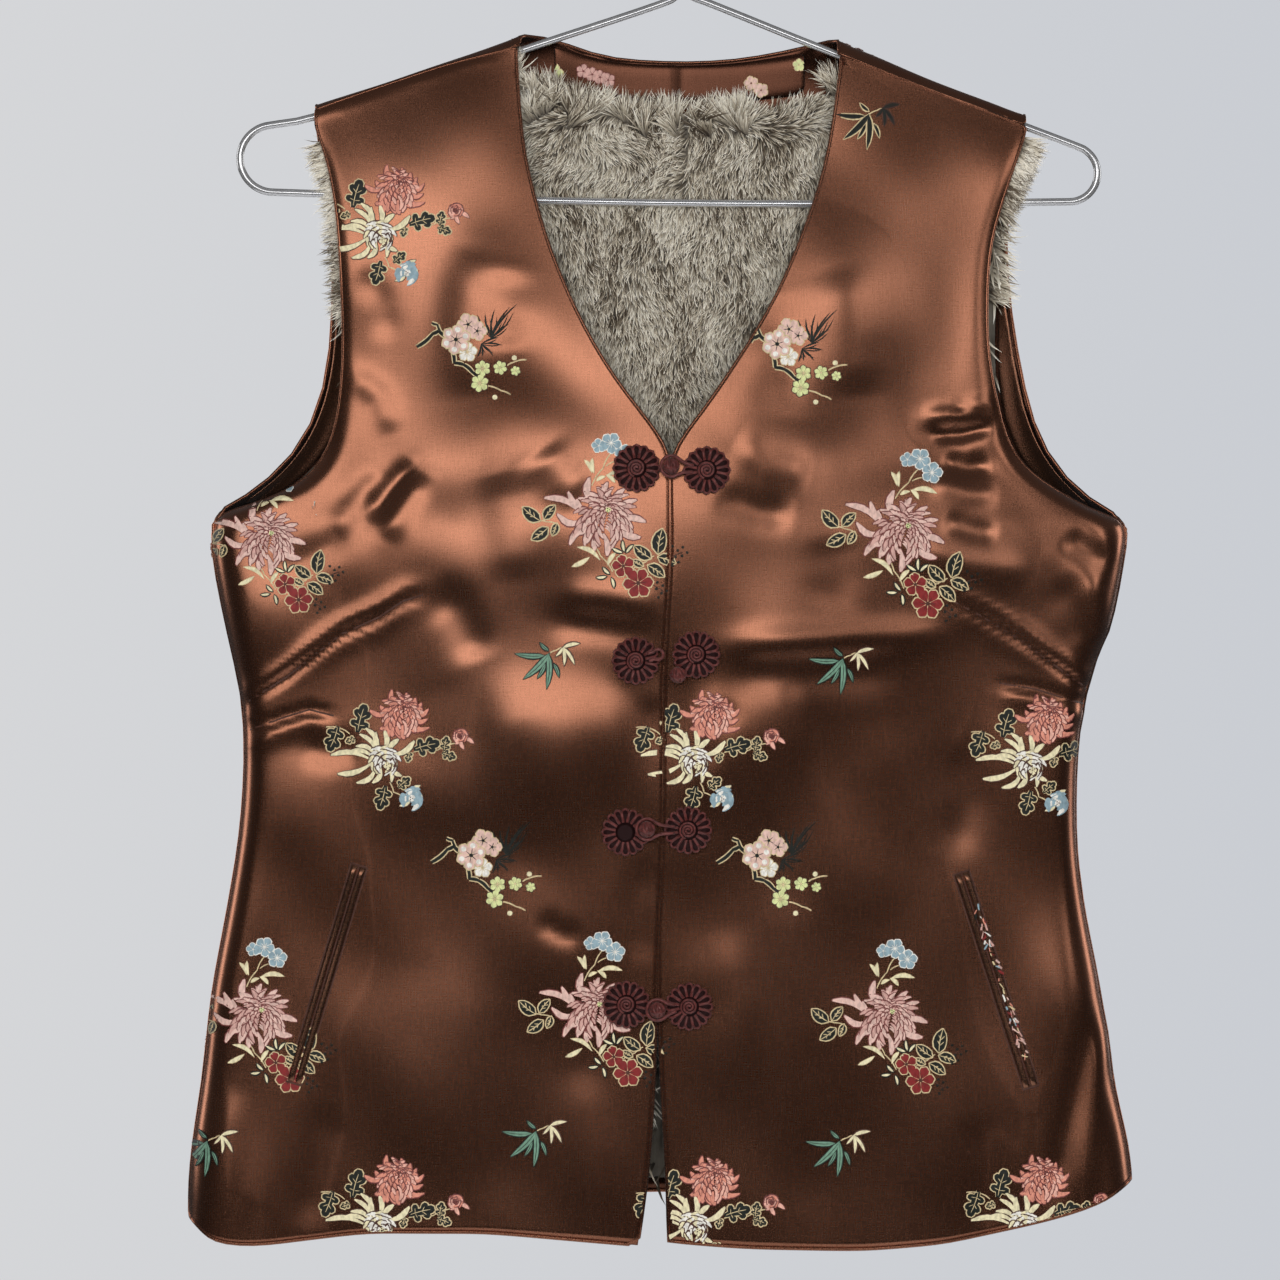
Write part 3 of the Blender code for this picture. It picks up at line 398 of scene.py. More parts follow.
def triangles(mesh):
    return sum(len(face.vertices) - 2 for face in mesh.polygons)


def tree_of(mesh):
    points = [tuple(co) for co in read(mesh)]
    return BVHTree.FromPolygons(points, [tuple(face.vertices) for face in mesh.polygons])


def on_cloth(tree, x, z, lift, side=1, always=False):
    """The place where a ray from outside meets the cloth, lifted off it, all in millimetres.
    side is 1 in front and -1 behind. Past an edge it is the nearest place, or else None."""
    hit, normal, _, _ = tree.ray_cast(Vector((x * MM, -0.2 * side, z * MM)), Vector((0, side, 0)))
    if hit is None:
        if not always:
            return None
        hit, normal, _, _ = tree.find_nearest(Vector((x * MM, 0, z * MM)))
    if normal.y * side > 0:
        normal = -normal
    return hit + normal * lift * MM


print("cloth helpers ready")

# %% [markdown]
# Creases are listed: each is a line of points in millimetres (x, z), a width
# and a height that is negative for a trough. A crease fades out towards its ends. Darts are
# narrow troughs with rolls of cloth beside them. Broad ridges near the middle turn the cloth
# up to the light where the photograph is bright, and the slow sag between the folds comes
# from a few long waves, because hanging satin is never quite flat.
#
# %% Creases
DART_LEFT = [(-218, -413), (-196, -399), (-182, -388), (-169, -378), (-151, -370), (-139, -362)]
DART_LEFT.append((-129, -359))
DART_RIGHT = [(199, -407), (187, -399), (176, -391), (164, -382), (151, -374), (139, -367)]
DART_RIGHT.append((125, -360))
TUCK_LEFT = [(-217, -426), (-198, -419), (-185, -415), (-173, -418)]
TUCK_RIGHT = [(198, -413), (189, -411), (170, -405), (152, -402)]


def sewn_creases(dart, tuck, aside, below):
    """Troughs along a bust dart and the tuck under it, with rolls of cloth beside them."""
    return [
        (dart, 2.3, -1.7),
        ([(x, z + 5) for x, z in dart], 4.5, 1.3),
        ([(x + aside, z - 5) for x, z in dart[2:]], 5.0, 0.7),
        (tuck, 2.3, -1.4),
        ([(x, z - below) for x, z in tuck], 5.0, 1.0),
    ]


LEFT_CREASES = sewn_creases(DART_LEFT, TUCK_LEFT, -2, 6) + [
    ([(-126, -358), (-112, -366), (-101, -391)], 10.0, -1.5),
    ([(-134, -294), (-146, -308), (-157, -323)], 5.0, -1.5),
    ([(-128, -300), (-139, -316), (-148, -332)], 6.0, 1.3),
    ([(-150, -300), (-165, -318), (-172, -330)], 6.0, 0.9),
    ([(-166, -330), (-186, -341), (-204, -350)], 7.0, -0.9),
    ([(-89, -200), (-91, -222), (-88, -240)], 12.0, -1.3),
    ([(-104, -190), (-110, -225), (-106, -262)], 13.0, 1.1),
    ([(-72, -288), (-62, -303), (-50, -309)], 11.0, -1.4),
    ([(-93, -300), (-86, -330), (-83, -352)], 12.0, 1.1),
    ([(-70, -371), (-45, -374), (-16, -381)], 8.0, -1.3),
    ([(-62, -360), (-38, -361), (-14, -365)], 8.0, 1.2),
    ([(-36, -389), (-22, -400), (-15, -415)], 6.0, 0.8),
    ([(-190, -433), (-176, -436), (-160, -432)], 7.0, -1.1),
    ([(-120, -405), (-110, -440), (-112, -480)], 17.0, 0.6),
    ([(-84, -420), (-78, -460), (-84, -500)], 15.0, -0.6),
    ([(-73, -517), (-62, -524), (-52, -526)], 5.0, -0.9),
    ([(-196, -470), (-200, -520), (-210, -575)], 12.0, -0.8),
    ([(-135, -540), (-141, -590), (-150, -640)], 15.0, 0.5),
    ([(-96, -560), (-92, -610), (-99, -660)], 15.0, -0.6),
    ([(-52, -590), (-46, -630), (-44, -668)], 12.0, 1.0),
    ([(-222, -600), (-228, -640), (-232, -668)], 8.0, 1.0),
    ([(-176, -606), (-181, -640), (-188, -670)], 9.0, -1.1),
    ([(-20, -486), (-26, -510), (-22, -540)], 8.0, -0.8),
    ([(-160, -200), (-150, -215), (-147, -235)], 7.0, -0.8),
    ([(-165, -250), (-150, -262), (-144, -280)], 6.0, 0.8),
    ([(-165, -446), (-100, -455), (-28, -450)], 27.0, 2.5),
    ([(-104, -420), (-66, -425), (-18, -422)], 25.0, 2.8),
]
RIGHT_CREASES = sewn_creases(DART_RIGHT, TUCK_RIGHT, 2, 5) + [
    ([(118, -281), (134, -280), (150, -276)], 4.0, -1.7),
    ([(114, -273), (130, -271), (150, -266)], 4.5, 1.3),
    ([(128, -267), (140, -269), (149, -268)], 3.0, -0.8),
    ([(124, -293), (136, -297), (148, -295)], 5.0, -1.3),
    ([(118, -303), (136, -309), (152, -310)], 6.0, 1.1),
    ([(124, -322), (138, -327), (152, -330)], 6.0, -1.3),
    ([(110, -336), (140, -345), (168, -350)], 8.0, 1.2),
    ([(184, -330), (196, -338), (207, -345)], 6.0, -1.2),
    ([(180, -352), (188, -368), (193, -384)], 7.0, -1.1),
    ([(196, -350), (202, -366), (203, -384)], 6.0, 0.9),
    ([(12, -384), (60, -381), (105, -379), (130, -377)], 7.0, 1.5),
    ([(14, -398), (60, -397), (104, -396)], 10.0, -1.5),
    ([(42, -214), (50, -240), (46, -272)], 13.0, -1.2),
    ([(72, -200), (80, -232), (82, -262)], 13.0, 1.2),
    ([(22, -286), (40, -296), (60, -300)], 9.0, 1.1),
    ([(14, -310), (34, -318), (52, -320)], 8.0, -1.2),
    ([(70, -330), (74, -350), (68, -368)], 12.0, -0.9),
    ([(92, -420), (98, -470), (92, -520)], 16.0, 0.7),
    ([(52, -430), (46, -480), (52, -520)], 15.0, -0.6),
    ([(130, -430), (136, -460), (128, -488)], 10.0, -1.0),
    ([(199, -557), (191, -594), (183, -630), (175, -662)], 6.0, -1.7),
    ([(205, -560), (199, -600), (194, -640), (190, -668)], 6.0, 1.2),
    ([(100, -560), (108, -610), (112, -660)], 15.0, 0.6),
    ([(60, -570), (64, -620), (58, -664)], 14.0, -0.6),
    ([(140, -612), (146, -640), (146, -672)], 9.0, -1.1),
    ([(18, -520), (24, -560), (20, -610)], 11.0, 1.0),
    ([(22, -410), (14, -425), (10, -445)], 6.0, -0.8),
    ([(-4, -450), (26, -452), (70, -446)], 24.0, 1.9),
    ([(-2, -423), (30, -425), (62, -420)], 23.0, 2.6),
]
BACK_CREASES = [
    ([(-130, -140), (-142, -200), (-150, -270)], 14.0, 1.4),
    ([(112, -140), (126, -200), (134, -270)], 14.0, 1.4),
    ([(-100, -160), (-108, -220), (-112, -300)], 14.0, -1.2),
    ([(86, -160), (94, -230), (98, -300)], 14.0, -1.2),
    ([(-208, -350), (-170, -356), (-120, -352)], 8.0, 1.2),
    ([(192, -356), (150, -360), (100, -356)], 8.0, 1.2),
    ([(-206, -392), (-160, -394), (-110, -386)], 9.0, -1.3),
    ([(182, -396), (140, -398), (92, -390)], 9.0, -1.3),
    ([(-60, -300), (-66, -420), (-58, -520)], 18.0, 1.4),
    ([(0, -330), (6, -430), (-2, -540)], 18.0, -1.2),
    ([(60, -300), (54, -420), (62, -540)], 18.0, 1.3),
    ([(-150, -470), (-160, -560), (-172, -655)], 16.0, 1.5),
    ([(-100, -500), (-108, -590), (-104, -668)], 16.0, -1.3),
    ([(118, -470), (130, -560), (142, -640)], 16.0, 1.5),
    ([(78, -500), (84, -590), (80, -660)], 16.0, -1.3),
    ([(-30, -560), (-24, -620), (-28, -668)], 14.0, 1.2),
    ([(-205, -450), (-202, -470), (-196, -486)], 7.0, -0.9),
    ([(-178, -300), (-160, -314), (-146, -334)], 7.0, -1.1),
    ([(164, -300), (150, -316), (138, -336)], 7.0, -1.1),
]
# length of a slow wave across and down in millimetres, its turn in radians, its height
WAVES = [(210, 96, 0.4, 0.32), (-140, 150, 1.7, 0.28), (88, -120, 2.9, 0.2), (61, 74, 4.1, 0.12)]
END_FADE = 0.35  # share of a crease over which it grows from its end
END_SHARE = 0.25
STILL_RADIUS = 15.0  # creases are weaker this near a frog flower
STILL_SHARE = 0.35


def eased(share):
    share = np.clip(share, 0, 1)
    return share * share * (3 - 2 * share)


def along_line(flat, line):
    """Distance of points from a line of points, and how far along it they are."""
    line = np.array(line, float)
    steps = np.diff(line, axis=0)
    lengths = np.linalg.norm(steps, axis=1)
    before = np.concatenate([[0], np.cumsum(lengths)])
    away = np.full(len(flat), 1e9)
    along = np.zeros(len(flat))
    for start, step, length, passed in zip(line, steps, lengths, before):
        share = (flat - start) @ step / length**2
        near = start + np.clip(share, 0, 1)[:, None] * step
        distance = np.linalg.norm(flat - near, axis=1)
        closer = distance < away
        away[closer] = distance[closer]
        along[closer] = (passed + np.clip(share[closer], 0, 1) * length) / before[-1]
    return away, along


def crease_height(flat, creases, still):
    """Height of all creases and waves in millimetres at flat points (x, z)."""
    total = np.zeros(len(flat))
    for line, width, height in creases:
        away, along = along_line(flat, line)
        fade = eased(np.minimum(along, 1 - along) / END_FADE + END_SHARE)
        total += height * fade * np.exp(-((away / width) ** 2))
    for across, down, turn, height in WAVES:
        total += height * np.sin(2 * math.pi * (flat[:, 0] / across + flat[:, 1] / down) + turn)
    for x, z in still:
        near = np.exp(-(np.linalg.norm(flat - (x, z), axis=1) / STILL_RADIUS) ** 2)
        total *= 1 - (1 - STILL_SHARE) * near
    return total


print("creases:", len(LEFT_CREASES), len(RIGHT_CREASES), len(BACK_CREASES))

# %% [markdown]
# Each panel is sewn from one piece of satin. The fine sheet is smoothed a little, because
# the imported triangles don't all pair up into squares, and its edges are held while that
# happens, so the outline stays as cut. Thickness is a live Solidify towards the lining.
#
# %% Satin panels
SMOOTHING = 24
FRONT = Vector((0, -1, 0))
FLOWERS = {name: sum(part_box(name), Vector()) / 2 for name in NODES if name.startswith("flower")}


def fine_sheet(name, towards, levels):
    """The outer sheet of a packed wall as smooth fine cloth."""
    mesh = subdivided(sheet_of(name, WALL, towards), name, levels)
    bm = bmesh.new()
    bm.from_mesh(mesh)
    inner = [vert for vert in bm.verts if not vert.is_boundary]
    for _ in range(SMOOTHING):
        bmesh.ops.smooth_vert(
            bm, verts=inner, factor=0.5, use_axis_x=True, use_axis_y=True, use_axis_z=True
        )
    bm.to_mesh(mesh)
    bm.free()
    return mesh


def make_panel(node_name, name, towards, creases, levels):
    """A satin panel that stands for a packed one, and its tree and area."""
    mesh = fine_sheet(node_name, towards, levels)
    mesh.name = name
    area = area_of(mesh)
    points, normals = read(mesh), read_normals(mesh)
    flat = points[:, [0, 2]] / MM
    still = [
        (middle.x / MM, middle.z / MM)
        for flower, middle in FLOWERS.items()
        if node_name.split("_")[-1] in flower
    ]
    height = crease_height(flat, creases, still)
    write(mesh, points + normals * (height * MM)[:, None])
    mesh.shade_smooth()
    tree = tree_of(mesh)
    panel = finish_piece(name, mesh, "satin", SATIN)
    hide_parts(node_name)
    thicken(panel, CLOTH)
    print(name, "triangles:", 2 * triangles(mesh), "area:", round(area, 4))
    return panel, tree, area


PANELS = {
    "left": make_panel("front_left", "satin_front_left", FRONT, LEFT_CREASES, 3),
    "right": make_panel("front_right", "satin_front_right", FRONT, RIGHT_CREASES, 3),
    "back": make_panel("back", "satin_back", -FRONT, BACK_CREASES, 2),
}

# %% [markdown]
# The flowers are woven in with coloured wefts that lie a little proud of the satin. A petal
# is one small domed strip along a bent line, with a wider strip in the outline's thread
# under it, and everything else is made of petals: blossoms, chrysanthemums, lobed leaves,
# bamboo and needles. Sizes in a motif are steps of 0.488 mm from its middle, x to the right
# and y up.
#
# %% Threads and petals
STEP = 0.4884
THREADS = {
    "gold": (0.62, 0.49, 0.28),
    "rose": (0.17, 0.045, 0.040),
    "pink": (0.60, 0.35, 0.30),
    "pale": (0.72, 0.48, 0.41),
    "coral": (0.68, 0.27, 0.19),
    "peach": (0.78, 0.42, 0.33),
    "cream": (0.78, 0.70, 0.45),
    "lime": (0.66, 0.70, 0.33),
    "blue": (0.27, 0.38, 0.43),
    "white": (0.80, 0.77, 0.70),
    "red": (0.22, 0.018, 0.018),
    "mint": (0.17, 0.31, 0.22),
    "dark": (0.012, 0.014, 0.011),
    "brown": (0.075, 0.03, 0.02),
}
EDGE = 1.3  # width of an outline
EDGE_DROP = 0.06  # how far it lies below its petal
DOME = 0.1  # rise of a petal's middle
PETAL_STEPS = 5


def thread_material(name, colour):
    """Silk thread: fine ribs across, a little sheen and a slightly uneven dye."""
    shine = {"Roughness": 0.42, "Sheen Weight": 0.25, "Sheen Roughness": 0.4}
    made, tree, shader = new_material(name + " thread", shine)
    darker = [0.72 * part for part in colour]
    tint(tree, shader, grain(tree, (700, 700, 420), 2), (0.35, darker), (0.6, colour))
    roughen(tree, shader, grain(tree, (900, 900, 3600), 1), 0.5, 0.0002)
    return made


THREAD_MATERIALS = [thread_material(name, colour) for name, colour in THREADS.items()]
THREAD_INDEX = {name: index for index, name in enumerate(THREADS)}


def petal(bm, thread, root, tip, width, bend=0.0, lift=0.4, edge=None, widest=0.55, blunt=0.1, rim=EDGE):
    """A domed strip from root to tip. bend moves its middle sideways, as a share of its
    length, widest is where along it is widest, blunt the width of its ends and rim the
    width of the outline."""
    root, tip = Vector(root), Vector(tip)
    along = tip - root
    if edge:
        more = along.normalized() * rim
        low = lift - EDGE_DROP
        petal(bm, edge, root - more, tip + more, width + 2 * rim, bend, low, None, widest, blunt)
    made = bmesh.ops.create_grid(bm, x_segments=PETAL_STEPS, y_segments=2, size=1)["verts"]
    across = Vector((-along.y, along.x))
    power = math.log(0.5) / math.log(widest)
    for vert in made:
        share, side = (vert.co.x + 1) / 2, vert.co.y
        outline = max(math.sin(math.pi * share**power), 0) ** 0.6
        half = width / 2 * (blunt + (1 - blunt) * outline)
        place = root + along * share + across * bend * math.sin(math.pi * share)
        place += across.normalized() * side * half
        vert.co = (place.x, place.y, lift + DOME * (1 - side * side) * outline)
    for face in {face for vert in made for face in vert.link_faces}:
        face.material_index = THREAD_INDEX[thread]


def polar(radius, degrees):
    angle = math.radians(degrees)
    return Vector((radius * math.cos(angle), radius * math.sin(angle)))


def stem(bm, thread, points, width, lift=0.3):
    """A line of thin strips."""
    for start, end in zip(points, points[1:]):
        petal(bm, thread, start, end, width, 0.06, lift, blunt=0.8)


def dot(bm, thread, x, y, radius, lift=0.4):
    petal(bm, thread, (x - radius, y), (x + radius, y), 2 * radius, 0, lift, None, 0.5, 0.4)


def blossom(bm, thread, edge, x, y, radius, heart="gold", count=5, turn=18, lift=0.45):
    """A plum blossom: round petals, each in its own outline, stamens and a heart."""
    middle = Vector((x, y))
    rim = 0.35 + 0.06 * radius
    wide = 1.45 * radius * math.sin(math.pi / count) - 0.6 * rim
    for number in range(count):
        way = turn + 360 * number / count
        root, tip = middle + polar(0.12 * radius, way), middle + polar(radius, way)
        petal(bm, thread, root, tip, wide, 0, lift, edge, 0.66, 0.12, rim)
        if radius > 7:
            petal(bm, heart, middle, middle + polar(0.5 * radius, way), 0.7, 0, lift + 0.2)
    dot(bm, heart, x, y, 0.13 * radius, lift + 0.25)


def oval_leaf(bm, x, y, radius, way, fill="dark", edge="gold"):
    """A pointed leaf with a vein and side veins."""
    middle = Vector((x, y))
    root, tip = middle - polar(radius, way), middle + polar(1.1 * radius, way)
    petal(bm, fill, root, tip, 1.15 * radius, 0.04, 0.36, edge, 0.45)
    petal(bm, edge, root, tip, 1.1, 0.04, 0.52, blunt=0.5)
    for share in (0.3, 0.55):
        start = root.lerp(tip, share)
        for side in (-38, 38):
            petal(bm, edge, start, start + polar(0.46 * radius, way + side), 0.9, 0, 0.5, blunt=0.5)


LOBES = (
    (0.0, 1.2, 0, 0.62),
    (0.2, 0.72, 78, 0.5),
    (0.2, 0.72, -78, 0.5),
    (0.5, 0.78, 50, 0.55),
    (0.5, 0.78, -50, 0.55),
    (0.55, 0.95, 0, 0.7),
)


def lobed_leaf(bm, x, y, radius, way):
    """A chrysanthemum leaf: lobes along a vein, dark inside a pale outline."""
    root = Vector((x, y)) - polar(0.9 * radius, way)
    for thread, grow, lift in (("gold", 1.1, 0.2), ("dark", 0, 0.34)):
        for share, reach, side, width in LOBES:
            start = root + polar(2 * share * radius, way)
            tip = start + polar(reach * radius + grow, way + side)
            start -= polar(0.15 * radius, way + side)
            petal(bm, thread, start, tip, width * radius + 2 * grow, 0, lift, None, 0.64, 0.45)
    petal(bm, "gold", root, root + polar(1.7 * radius, way), 0.8, 0.03, 0.6, blunt=0.6)
    for share, reach, side, _ in LOBES[1:5]:
        start = root + polar(2 * share * radius, way)
        petal(bm, "gold", start, start + polar(0.6 * reach * radius, way + side), 0.7, 0, 0.6)


def fingers(bm, thread, shade, x, y, tips, inner=0.35):
    """The long outer petals of a chrysanthemum, drawn one by one: tip, bend and width."""
    for tip, bend, width in tips:
        root = Vector((x, y)).lerp(Vector(tip), inner)
        petal(bm, thread, root, tip, width, bend, 0.4, shade, 0.68, 0.35, 0.9)


def mum(bm, threads, shade, heart, x, y, radius, rings, seed=1, eye_thread="lime"):
    """A chrysanthemum's head: rings of curling petals from the outside in, round an eye
    that lies off its root. rings holds a petal's reach, their number, width and bend. Each
    ring, and every second petal, lies a little higher, so the outlines show."""
    choose = np.random.default_rng(seed)
    root, eye = Vector((x, y)), Vector(heart)
    for level, (reach, count, width, bend) in enumerate(rings):
        base = root.lerp(eye, level / max(len(rings) - 1, 1))
        for number in range(count):
            way = 360 * (number + 0.5 * level + 0.25 * choose.uniform(-1, 1)) / count
            far = radius * reach * (0.88 + 0.22 * choose.uniform())
            tip = base + polar(far, way)
            curl = bend * choose.uniform(0.7, 1.2) * (1 if math.cos(math.radians(way)) > 0 else -1)
            thread = threads[int(choose.integers(len(threads)))]
            start = base + polar(0.3 * far, way)
            lift = 0.42 + 0.16 * level + 0.08 * (number % 2)
            petal(bm, thread, start, tip, width, curl, lift, shade, 0.64, 0.4, 0.85)
    dot(bm, eye_thread, *eye, 2.4, 1.45)
    for number in range(3):
        spot = eye + polar(1.3, 120 * number)
        dot(bm, "brown", *spot, 0.6, 1.55)


print("threads:", len(THREADS))

# %% [markdown]
# The four motifs of the repeat: the pink chrysanthemum with blue and red flowers, the coral
# and cream pair, the plum branch with pine needles, and the bamboo leaves.
#
# %% Motifs
MUM_RINGS = (
    (1.0, 15, 4.4, 0.24),
    (0.84, 16, 3.9, 0.26),
    (0.68, 15, 3.5, 0.28),
    (0.53, 13, 3.1, 0.3),
    (0.39, 11, 2.8, 0.3),
    (0.26, 8, 2.4, 0.25),
    (0.15, 5, 2.1, 0.2),
)
DOME_RINGS = ((1.0, 13, 4.6, 0.45), (0.76, 11, 4.0, 0.5), (0.52, 8, 3.4, 0.5), (0.3, 5, 3.0, 0.5))
ROSE_RINGS = ((1.0, 8, 6.0, 0.4), (0.66, 6, 4.6, 0.45), (0.36, 4, 3.4, 0.4))
PINK_FINGERS = (
    ((-50, 18.5), -0.14, 6.0),
    ((-28, 24), 0.15, 5.6),
    ((-8, 37.5), 0.2, 7.0),
    ((0, 28.5), -0.2, 6.5),
    ((9, 33), 0.1, 5.6),
    ((25, 27), 0.1, 5.2),
    ((36.5, 16.5), 0.12, 5.0),
    ((45, -4), 0.14, 6.0),
    ((40, -19), -0.1, 6.2),
    ((33, -14), 0.1, 5.6),
    ((9, -36), 0.1, 5.6),
    ((-3, -31), -0.1, 5.6),
    ((-11, -24), -0.1, 5.6),
    ((-26.5, -25.5), -0.2, 6.0),
    ((-38, 3), 0.24, 6.4),
    ((-20, 17), 0.2, 5.6),
    ((-23, -13.5), 0.15, 5.6),
)
CORAL_FINGERS = (
    ((2, 50), 0.2, 4.8),
    ((17, 47), -0.15, 4.6),
    ((26, 42), -0.2, 4.6),
    ((32, 37), -0.2, 4.4),
    ((39, 31), -0.25, 4.4),
    ((38, 21), -0.25, 4.4),
    ((39.5, 12.5), -0.3, 4.6),
    ((30, 8.5), -0.2, 4.6),
    ((14.5, 1), -0.1, 5.4),
    ((2, 3.5), -0.1, 5.4),
    ((-20, 29.5), 0.15, 4.8),
    ((-9.5, 11), 0.15, 5.4),
    ((-9.5, 34), 0.2, 4.8),
)
CREAM_FINGERS = (
    ((-59, -15), -0.12, 5.4),
    ((-52, -34), 0.1, 5.6),
    ((-33, -43), 0.2, 5.4),
    ((-17, -43), 0.2, 5.4),
    ((2, -42), 0.2, 4.4),
    ((12, -36), -0.1, 4.6),
    ((25, -1), -0.14, 6.0),
    ((9, 1), 0.1, 5.4),
    ((-5, 10), -0.14, 5.4),
    ((-14, 8), 0.12, 5.0),
    ((-24, 12), -0.16, 5.0),
    ((-30, 6), -0.14, 4.6),
    ((-34, -6), -0.2, 4.6),
    ((-40, -11), -0.14, 4.6),
)
BERRIES = ((70, -27), (75, -31), (80, -28), (73, -37), (79, -36), (84, -33), (70, -45), (76, -42))
LOW_BERRIES = ((56, -61), (61, -64), (55, -67), (60, -71), (65, -69), (57, -75))

NEEDLES = (
    ((16.5, 11), ((2.7, 35), (10.4, 36), (35, 42), (42.5, 45.4), (34, 25), (26.5, 31.6), (20, 40))),
    ((6.6, 5.6), ((2.7, -8), (8, -6.6), (18.8, -6.6), (28, 4), (24, 12))),
)


def pink_motif(bm):
    for x, y, radius, way in (
        (-62, 3, 9.5, 142),
        (-45.5, 4.5, 7.5, 52),
        (-54, -15, 8.7, 216),
        (-40.5, -11, 5.5, -110),
        (42.5, -33, 9, 143),
        (58.5, -23, 11, 80),
        (64.5, -40, 8, -20),
        (54.5, -50, 8.5, -35),
        (38, -43, 5, 150),
    ):
        oval_leaf(bm, x, y, radius, way)
    stem(bm, "gold", [(-55, -3), (-48, -4), (-38, -6)], 1.2)
    stem(bm, "gold", [(31, -50), (45, -42), (53, -36)], 1.2)
    stem(bm, "brown", [(60, -40), (70, -37), (80, -33)], 0.9)
    stem(bm, "brown", [(48, -62), (56, -66), (62, -70)], 0.9)
    for x, y in BERRIES + LOW_BERRIES:
        dot(bm, "dark", x, y, 1.3)
    for root, tip in (
        ((8, -55.5), (-1, -56.5)),
        ((13, -57), (15.3, -66)),
        ((11, -53), (5, -47)),
        ((25, -32), (23.5, -22)),
        ((23, -33), (14, -29)),
        ((27, -33), (33, -26)),
        ((25, -37), (19, -37)),
    ):
        petal(bm, "cream", root, tip, 2.4, 0.05, 0.42, "dark", 0.5)
    stem(bm, "gold", [(-3, -27), (2.5, -36), (14, -51)], 1.3)
    stem(bm, "gold", [(-5.5, 30), (5, 46.5), (12, 60)], 1.3)
    stem(bm, "gold", [(8, 48.5), (16.5, 53)], 1.2)
    for root, tip, width, bend in (
        ((2, -40), (-19, -28), 3.6, -0.14),
        ((-8, -37.5), (-24, -46), 3.8, 0.05),
        ((9.5, -44.5), (16.5, -33.5), 3.4, 0.08),
        ((-5.5, 42.5), (-12.3, 54), 3.2, -0.1),
        ((-3.5, 42), (-5, 55.5), 3.2, 0.08),
        ((9, 40), (32, 40.5), 4.0, 0.12),
        ((8, 40), (16, 33), 3.2, 0.1),
        ((7, 38.5), (-1, 34.5), 2.8, -0.1),
    ):
        petal(bm, "cream", root, tip, width, bend, 0.42, "gold", rim=0.6)
    fingers(bm, "pale", "rose", 3, -4, PINK_FINGERS)
    mum(bm, ("pink", "pale"), "rose", (10, 7), 5, -1, 30, MUM_RINGS, 11)
    blossom(bm, "blue", "white", 1, 67.5, 6.5, "white", 5, 100)
    blossom(bm, "blue", "white", 12.5, 70, 9.5, "white", 5, 60)
    blossom(bm, "blue", "white", 25.2, 58.8, 9.5, "white", 5, 10)
    blossom(bm, "red", "gold", 24, -45.7, 10.5, "brown", 5, 30)
    blossom(bm, "red", "gold", 38, -61.7, 14, "brown", 6, 5)


def pair_motif(bm):
    for x, y, radius, way in (
        (-28.8, 21, 13, 75),
        (-56, 2, 12, 250),
        (-39, 0, 4.5, 200),
        (-7, -57, 11, 255),
        (14, -43, 7, 40),
        (36.5, -6, 12, 15),
        (56, -4, 6.5, 80),
        (59, -15, 6.5, -20),
        (19, -16, 5, -100),
    ):
        lobed_leaf(bm, x, y, radius, way)
    stem(bm, "gold", [(24, -12), (48, -10), (66, -3)], 1.3)
    stem(bm, "gold", [(-64, 13), (-50, 12), (-40, 6)], 1.3)
    stem(bm, "gold", [(0, -42), (4, -52), (12, -56)], 1.3)
    fingers(bm, "coral", "rose", 12, 24, CORAL_FINGERS, 0.4)
    mum(bm, ("coral", "peach"), "rose", (15, 33), 12, 24, 23, MUM_RINGS, 5, "rose")
    for tip, bend in (((84.5, -3), 0.1), ((74.5, -9), -0.1), ((66, -4), 0.1)):
        petal(bm, "peach", (71, 3), tip, 3.8, bend, 0.4, "rose", 0.6, 0.2, 0.7)
    mum(bm, ("coral", "peach"), "rose", (71, 4), 71, 4, 7, ROSE_RINGS, 7, "rose")
    fingers(bm, "cream", "brown", -7, -20, CREAM_FINGERS, 0.25)
    mum(bm, ("cream", "white"), "brown", (-2, -24), -6, -20, 16, DOME_RINGS, 8, "cream")
    for tip in ((31, -45), (10, -66), (33, -56)):
        petal(bm, "cream", (21, -56), tip, 5, 0.16, 0.4, "brown", rim=0.7)
    mum(bm, ("white", "white", "blue"), "blue", (22, -58), 22, -58, 11, ROSE_RINGS, 9, "white")


